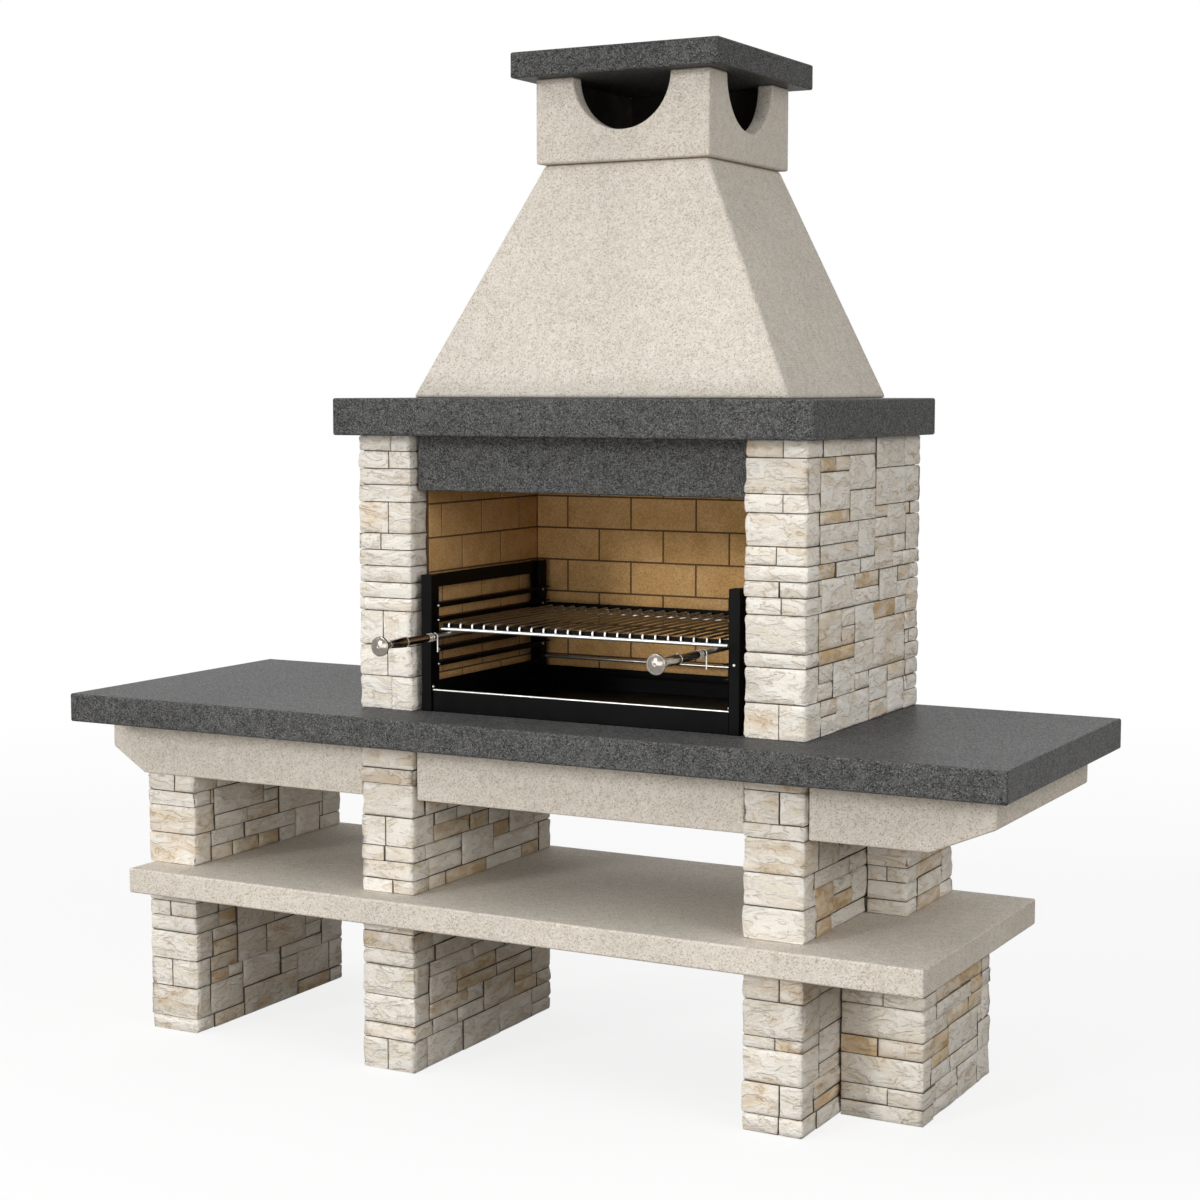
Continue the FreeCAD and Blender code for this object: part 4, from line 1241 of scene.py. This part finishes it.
@dataclass
class Handle:
    """One grill handle: a turned knob with a domed front on an eight-sided grip and a grooved tube.

    Sizes are in millimetres. Each profile gives places along the axis and radii, counted from the place and
    radius at which it is set.
    """

    side: str
    steps: int = 48
    dimple: Profile = ((1.3, 0.0), (1.2, 1.3), (0.4, 2.5), (0.2, 3.6))
    dome: float = 6.0
    dome_steps: int = 7
    groove_from_rim: float = 3.2
    groove: Profile = ((0.9, 0.4), (0.9, 0.9), (0.3, 1.4))
    rim: float = 4.0
    rim_front: Profile = ((0.5, -0.9), (1.1, -0.2), (2.0, 0.0))
    rim_chamfer: float = 0.6
    cone_steps: int = 8
    cone_hollow: float = 1.3
    neck: float = 8.0
    collar: Profile = ((0.0, 0.0), (0.6, 1.0), (4.0, 1.2), (4.6, 0.3), (7.0, 0.3))
    grip_sides: int = 8
    grip_step: float = 1.2
    grip_end: float = 62.0
    grip_edge: float = 0.9
    grip_segments: int = 2
    shoulder: Profile = ((0.0, -1.2), (0.8, -0.3), (3.0, -0.3), (5.5, -1.4))
    waist: Profile = ((7.0, 0.2), (8.0, 0.0))
    tube: float = 9.0
    grooved: float = 26.0
    tube_groove: Profile = ((0.6, -1.0), (2.6, -1.0), (3.2, 0.4), (6.4, 0.4))
    tube_grooves: int = 3
    groove_pitch: float = 7.0
    tube_end: Profile = ((-4.0, 0.2), (-0.6, 0.2), (0.0, -0.4))

    def build(self) -> None:
        """Makes knob and sleeve in place of their CAD nodes and dresses the bar and the clip."""
        self.make_knob(f"{self.side}_knob")
        self.make_sleeve(f"{self.side}_handle_sleeve")
        coat((f"{self.side}_side_bar", f"{self.side}_handle_clip"), LONG_ROD)

    def measure(self, node: str) -> tuple[Vector, float, float]:
        """Measures a round CAD node that lies lengthwise.

        Args:
            node: Name of the CAD node.

        Returns:
            The middle of its front, and its length and radius in millimetres.
        """
        low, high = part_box(node)
        start = Vector(((low.x + high.x) / 2, low.y, (low.z + high.z) / 2))
        return start, (high.y - low.y) / MM, (high.x - low.x) / 2 / MM

    def make_knob(self, node: str) -> None:
        """Turns a domed front with a dimple and a groove, a narrow rim and a hollowed cone down to the neck.

        Args:
            node: Name of the knob's CAD node.
        """
        start, length, radius = self.measure(node)
        profile = list(self.dimple)
        front, inner = profile[-1]
        outer = radius - self.groove_from_rim
        for step in range(1, self.dome_steps + 1):
            out = inner + (outer - inner) * step / self.dome_steps
            profile.append((front + (self.dome - front) * (out / radius) ** 2, out))
        edge = profile[-1][0]
        back, top = self.dome + self.rim, radius - self.rim_chamfer
        profile += moved(self.groove, edge, outer) + moved(self.rim_front, edge, radius)
        profile += [(back - self.rim_chamfer, radius), (back, top)]
        for step in range(1, self.cone_steps + 1):
            part = step / self.cone_steps
            narrowed = 1.0 - (1.0 - part) ** self.cone_hollow
            profile.append((back + (length - back) * part, top + (self.neck - top) * narrowed))
        profile.append((length, 0.0))
        bm = bmesh.new()
        turned(bm, profile, start, BACKWARDS, self.steps)
        close_turned(bm)
        hand_over(bm, f"{self.side}_turned_knob", (TURNED,), GRILL, (node,))

    def make_sleeve(self, node: str) -> None:
        """Makes a collar, an eight-sided grip, a round shoulder and a tube with three grooves before its end.

        Args:
            node: Name of the sleeve's CAD node.
        """
        start, length, widest = self.measure(node)
        grip_start = self.collar[-1][0]
        bm = bmesh.new()
        ring = [(0.0, 0.0), *moved(self.collar, 0.0, self.neck), (grip_start, 0.0)]
        turned(bm, ring, start, BACKWARDS, self.steps)
        middle = start + BACKWARDS * ((grip_start + self.grip_end) / 2 * MM)
        flat_up = Matrix.Rotation(math.pi / self.grip_sides, 4, "Z")
        lying = Matrix.Rotation(math.radians(-90.0), 4, "X") @ flat_up
        grip = bmesh.ops.create_cone(
            bm, cap_ends=True, segments=self.grip_sides, radius1=(self.neck + self.grip_step) * MM,
            radius2=widest * MM, depth=(self.grip_end - grip_start) * MM,
            matrix=Matrix.Translation(middle) @ lying)
        round_edges(bm, edges_at(grip["verts"]), self.grip_edge * MM, self.grip_segments)
        grooves = length - self.grooved
        tube = [(self.grip_end, 0.0), *moved(self.shoulder, self.grip_end, widest),
                *moved(self.waist, self.grip_end, self.tube), (grooves, self.tube)]
        for groove in range(self.tube_grooves):
            tube += moved(self.tube_groove, grooves + groove * self.groove_pitch, self.tube)
        tube += [*moved(self.tube_end, length, self.tube), (length, 0.0)]
        turned(bm, tube, start, BACKWARDS, self.steps)
        close_turned(bm)
        hand_over(bm, f"{self.side}_grip_sleeve", (POLISHED,), GRILL, (node,))


@dataclass
class Grill:
    """The grill with its rods, flat bars, wires and two handles."""

    cross_rods: tuple[str, ...] = ("grill_front_rod", "grill_rear_rod")
    wires: str = "grill_wires"
    wire_end_highlight: str = "#E6E4E0"
    wire_dull: str = "#D2D0CB"
    bars: tuple[str, ...] = ("grill_front_bar", "grill_rear_bar")
    bar_edge: float = 0.8 * MM

    def build(self) -> None:
        """Dresses rods and wires and makes the bars and both handles."""
        coat(self.cross_rods, CROSS_ROD)
        low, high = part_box(self.wires)
        # The wires' hooked ends keep this bright colour as a painted highlight; their middles go darker.
        coat((self.wires,), EndHighlitWire("stainless_wire_painted_end_highlights", self.wire_end_highlight, self.wire_dull,
                                       stretch=ALONG_Y, front=low.y, rear=high.y))
        put_softened(self.bars, self.bar_edge, "steel", BLACK_STEEL, GRILL)
        for side in ("left", "right"):
            Handle(side).build()


@dataclass(frozen=True)
class Lamp:
    """A broad distant lamp: strength, and height, turn to the right of the front and spread in degrees."""

    name: str
    strength: float
    height: float
    turn: float
    spread: float

    def build(self) -> None:
        """Hangs the lamp."""
        lamp = bpy.data.lights.new(self.name, "SUN")
        lamp.energy = self.strength
        lamp.angle = math.radians(self.spread)
        angles = (math.radians(90.0 - self.height), 0.0, math.radians(self.turn))
        placed(self.name, lamp).rotation_euler = angles


@dataclass(frozen=True)
class SoftBox:
    """A large lit panel that stands near the object and looks at a point of it, in watts and metres."""

    name: str
    power: float
    place: Point
    target: Point
    width: float
    height: float

    def build(self) -> None:
        """Stands the panel up."""
        panel = bpy.data.lights.new(self.name, "AREA")
        panel.shape = "RECTANGLE"
        panel.size = self.width
        panel.size_y = self.height
        panel.energy = self.power
        holder = placed(self.name, panel)
        holder.location = self.place
        look = Vector(self.target) - Vector(self.place)
        holder.rotation_euler = look.to_track_quat("-Z", "Y").to_euler()


def seen_directly(tree: NodeTree) -> NodeSocket:
    """Tells rays that show the background from those that light the object.

    Args:
        tree: Node tree that gets the nodes.

    Returns:
        One for camera, glossy and transmission rays, and nought for the others.
    """
    path = add_node(tree, "LightPath").node.outputs
    mirror = add_node(tree, "Math", {
        0: path["Is Glossy Ray"], 1: path["Is Transmission Ray"]}, operation="MAXIMUM")
    return add_node(tree, "Math", {0: path["Is Camera Ray"], 1: mirror}, operation="MAXIMUM")


@dataclass
class Studio:
    """White floor, soft light and the camera at the photograph's place."""

    camera_place: Point = (2.53096, -4.51887, 1.58448)
    camera_pitch: float = 5.356
    camera_turn: float = 28.423
    focal_pixels: float = 2259.98
    frame_pixels: float = 1200.0
    sensor: float = 36.0
    sky: float = 0.34
    lamps: tuple[Lamp | SoftBox, ...] = (
        Lamp("front_lamp", 1.0, 16.0, -24.0, 12.0), Lamp("right_lamp", 0.34, 25.0, 58.0, 45.0),
        Lamp("top_lamp", 0.85, 48.0, -65.0, 50.0), Lamp("back_lamp", 0.32, 20.0, -150.0, 60.0),
        SoftBox("low_panel", 26.0, (-0.2, -2.9, 1.05), (0.2, -0.2, 0.75), 3.0, 0.9),
        SoftBox("right_panel", 26.0, (3.3, -1.3, 1.9), (0.6, 0.0, 1.3), 1.6, 1.6))
    floor_size: float = 60.0
    floor_glow: float = 0.82
    floor_bounce: str = "#6A6052"
    floor_near: float = 2.2
    floor_far: float = 7.0

    def build(self) -> None:
        """Sets up camera, world, lamps and floor."""
        self.set_camera()
        self.light()
        self.lay_floor()
        bpy.context.scene.view_settings.view_transform = "Standard"

    def set_camera(self) -> None:
        """Makes the camera that took the photograph."""
        lens = bpy.data.cameras.new("camera")
        lens.sensor_width = self.sensor
        lens.lens = self.focal_pixels / self.frame_pixels * self.sensor
        camera = placed("camera", lens)
        camera.location = self.camera_place
        camera.rotation_euler = (math.radians(90.0 - self.camera_pitch), 0.0, math.radians(self.camera_turn))
        bpy.context.scene.camera = camera

    def light(self) -> None:
        """Makes a white sky that lights softly, broad lamps, and lit panels in front and at the right."""
        world = bpy.data.worlds.new("studio")
        world.use_nodes = True
        bpy.context.scene.world = world
        tree = world.node_tree
        strength = add_node(tree, "MapRange", {
            "Value": seen_directly(tree), "To Min": self.sky, "To Max": 1.0})
        fill(tree.nodes["Background"], {"Color": linear(WHITE), "Strength": strength})
        for lamp in self.lamps:
            lamp.build()

    def lay_floor(self) -> None:
        """Lays a wide floor that keeps the object's shadow."""
        bm = bmesh.new()
        bmesh.ops.create_grid(bm, x_segments=1, y_segments=1, size=self.floor_size)
        mesh = bpy.data.meshes.new("floor")
        bm.to_mesh(mesh)
        bm.free()
        mesh.materials.append(self.paper())
        floor = placed("floor", mesh)

    def paper(self) -> Material:
        """Makes matt white paper that looks white far away and lights the object dimly from below.

        Returns:
            The floor's material.
        """
        material = bpy.data.materials.new("white_paper_floor")
        material.use_nodes = True
        tree = material.node_tree
        shader = tree.nodes["Principled BSDF"]
        seen = seen_directly(tree)
        colour = add_node(tree, "Mix", {
            SHARE: seen, FROM: linear(self.floor_bounce), TO: linear(WHITE)}, **COLOUR_MIX)
        glow = add_node(tree, "Emission", {"Color": linear(WHITE), "Strength": 1.0})
        place = add_node(tree, "TexCoord", output="Object")
        away = add_node(tree, "VectorMath", {0: place}, "Value", operation="LENGTH")
        fade = add_node(tree, "MapRange", {
            "Value": away, "From Min": self.floor_near, "From Max": self.floor_far,
            "To Min": self.floor_glow, "To Max": 1.0}, **EASED)
        share = add_node(tree, "Math", {0: seen, 1: fade}, operation="MULTIPLY")
        mixed = add_node(tree, "MixShader", {0: share, 1: shader.outputs["BSDF"], 2: glow})
        fill(shader, {"Base Color": colour, "Roughness": 1.0, "Specular IOR Level": 0.0})
        fill(tree.nodes["Material Output"], {"Surface": mixed})
        return material


def write_sizes() -> None:
    """Brings the scene's matrices up to date."""
    bpy.context.view_layer.update()


def main() -> None:
    """Builds every sub-assembly in order, then the studio."""
    logging.basicConfig(level=logging.INFO, format="%(message)s")
    for part in (Stonework(), BrickLining(), Castings(), Cradle(), EmberTray(), Grill(), Studio()):
        log.info("%s", type(part).__name__)
        part.build()
    write_sizes()


if __name__ == "__main__":
    main()
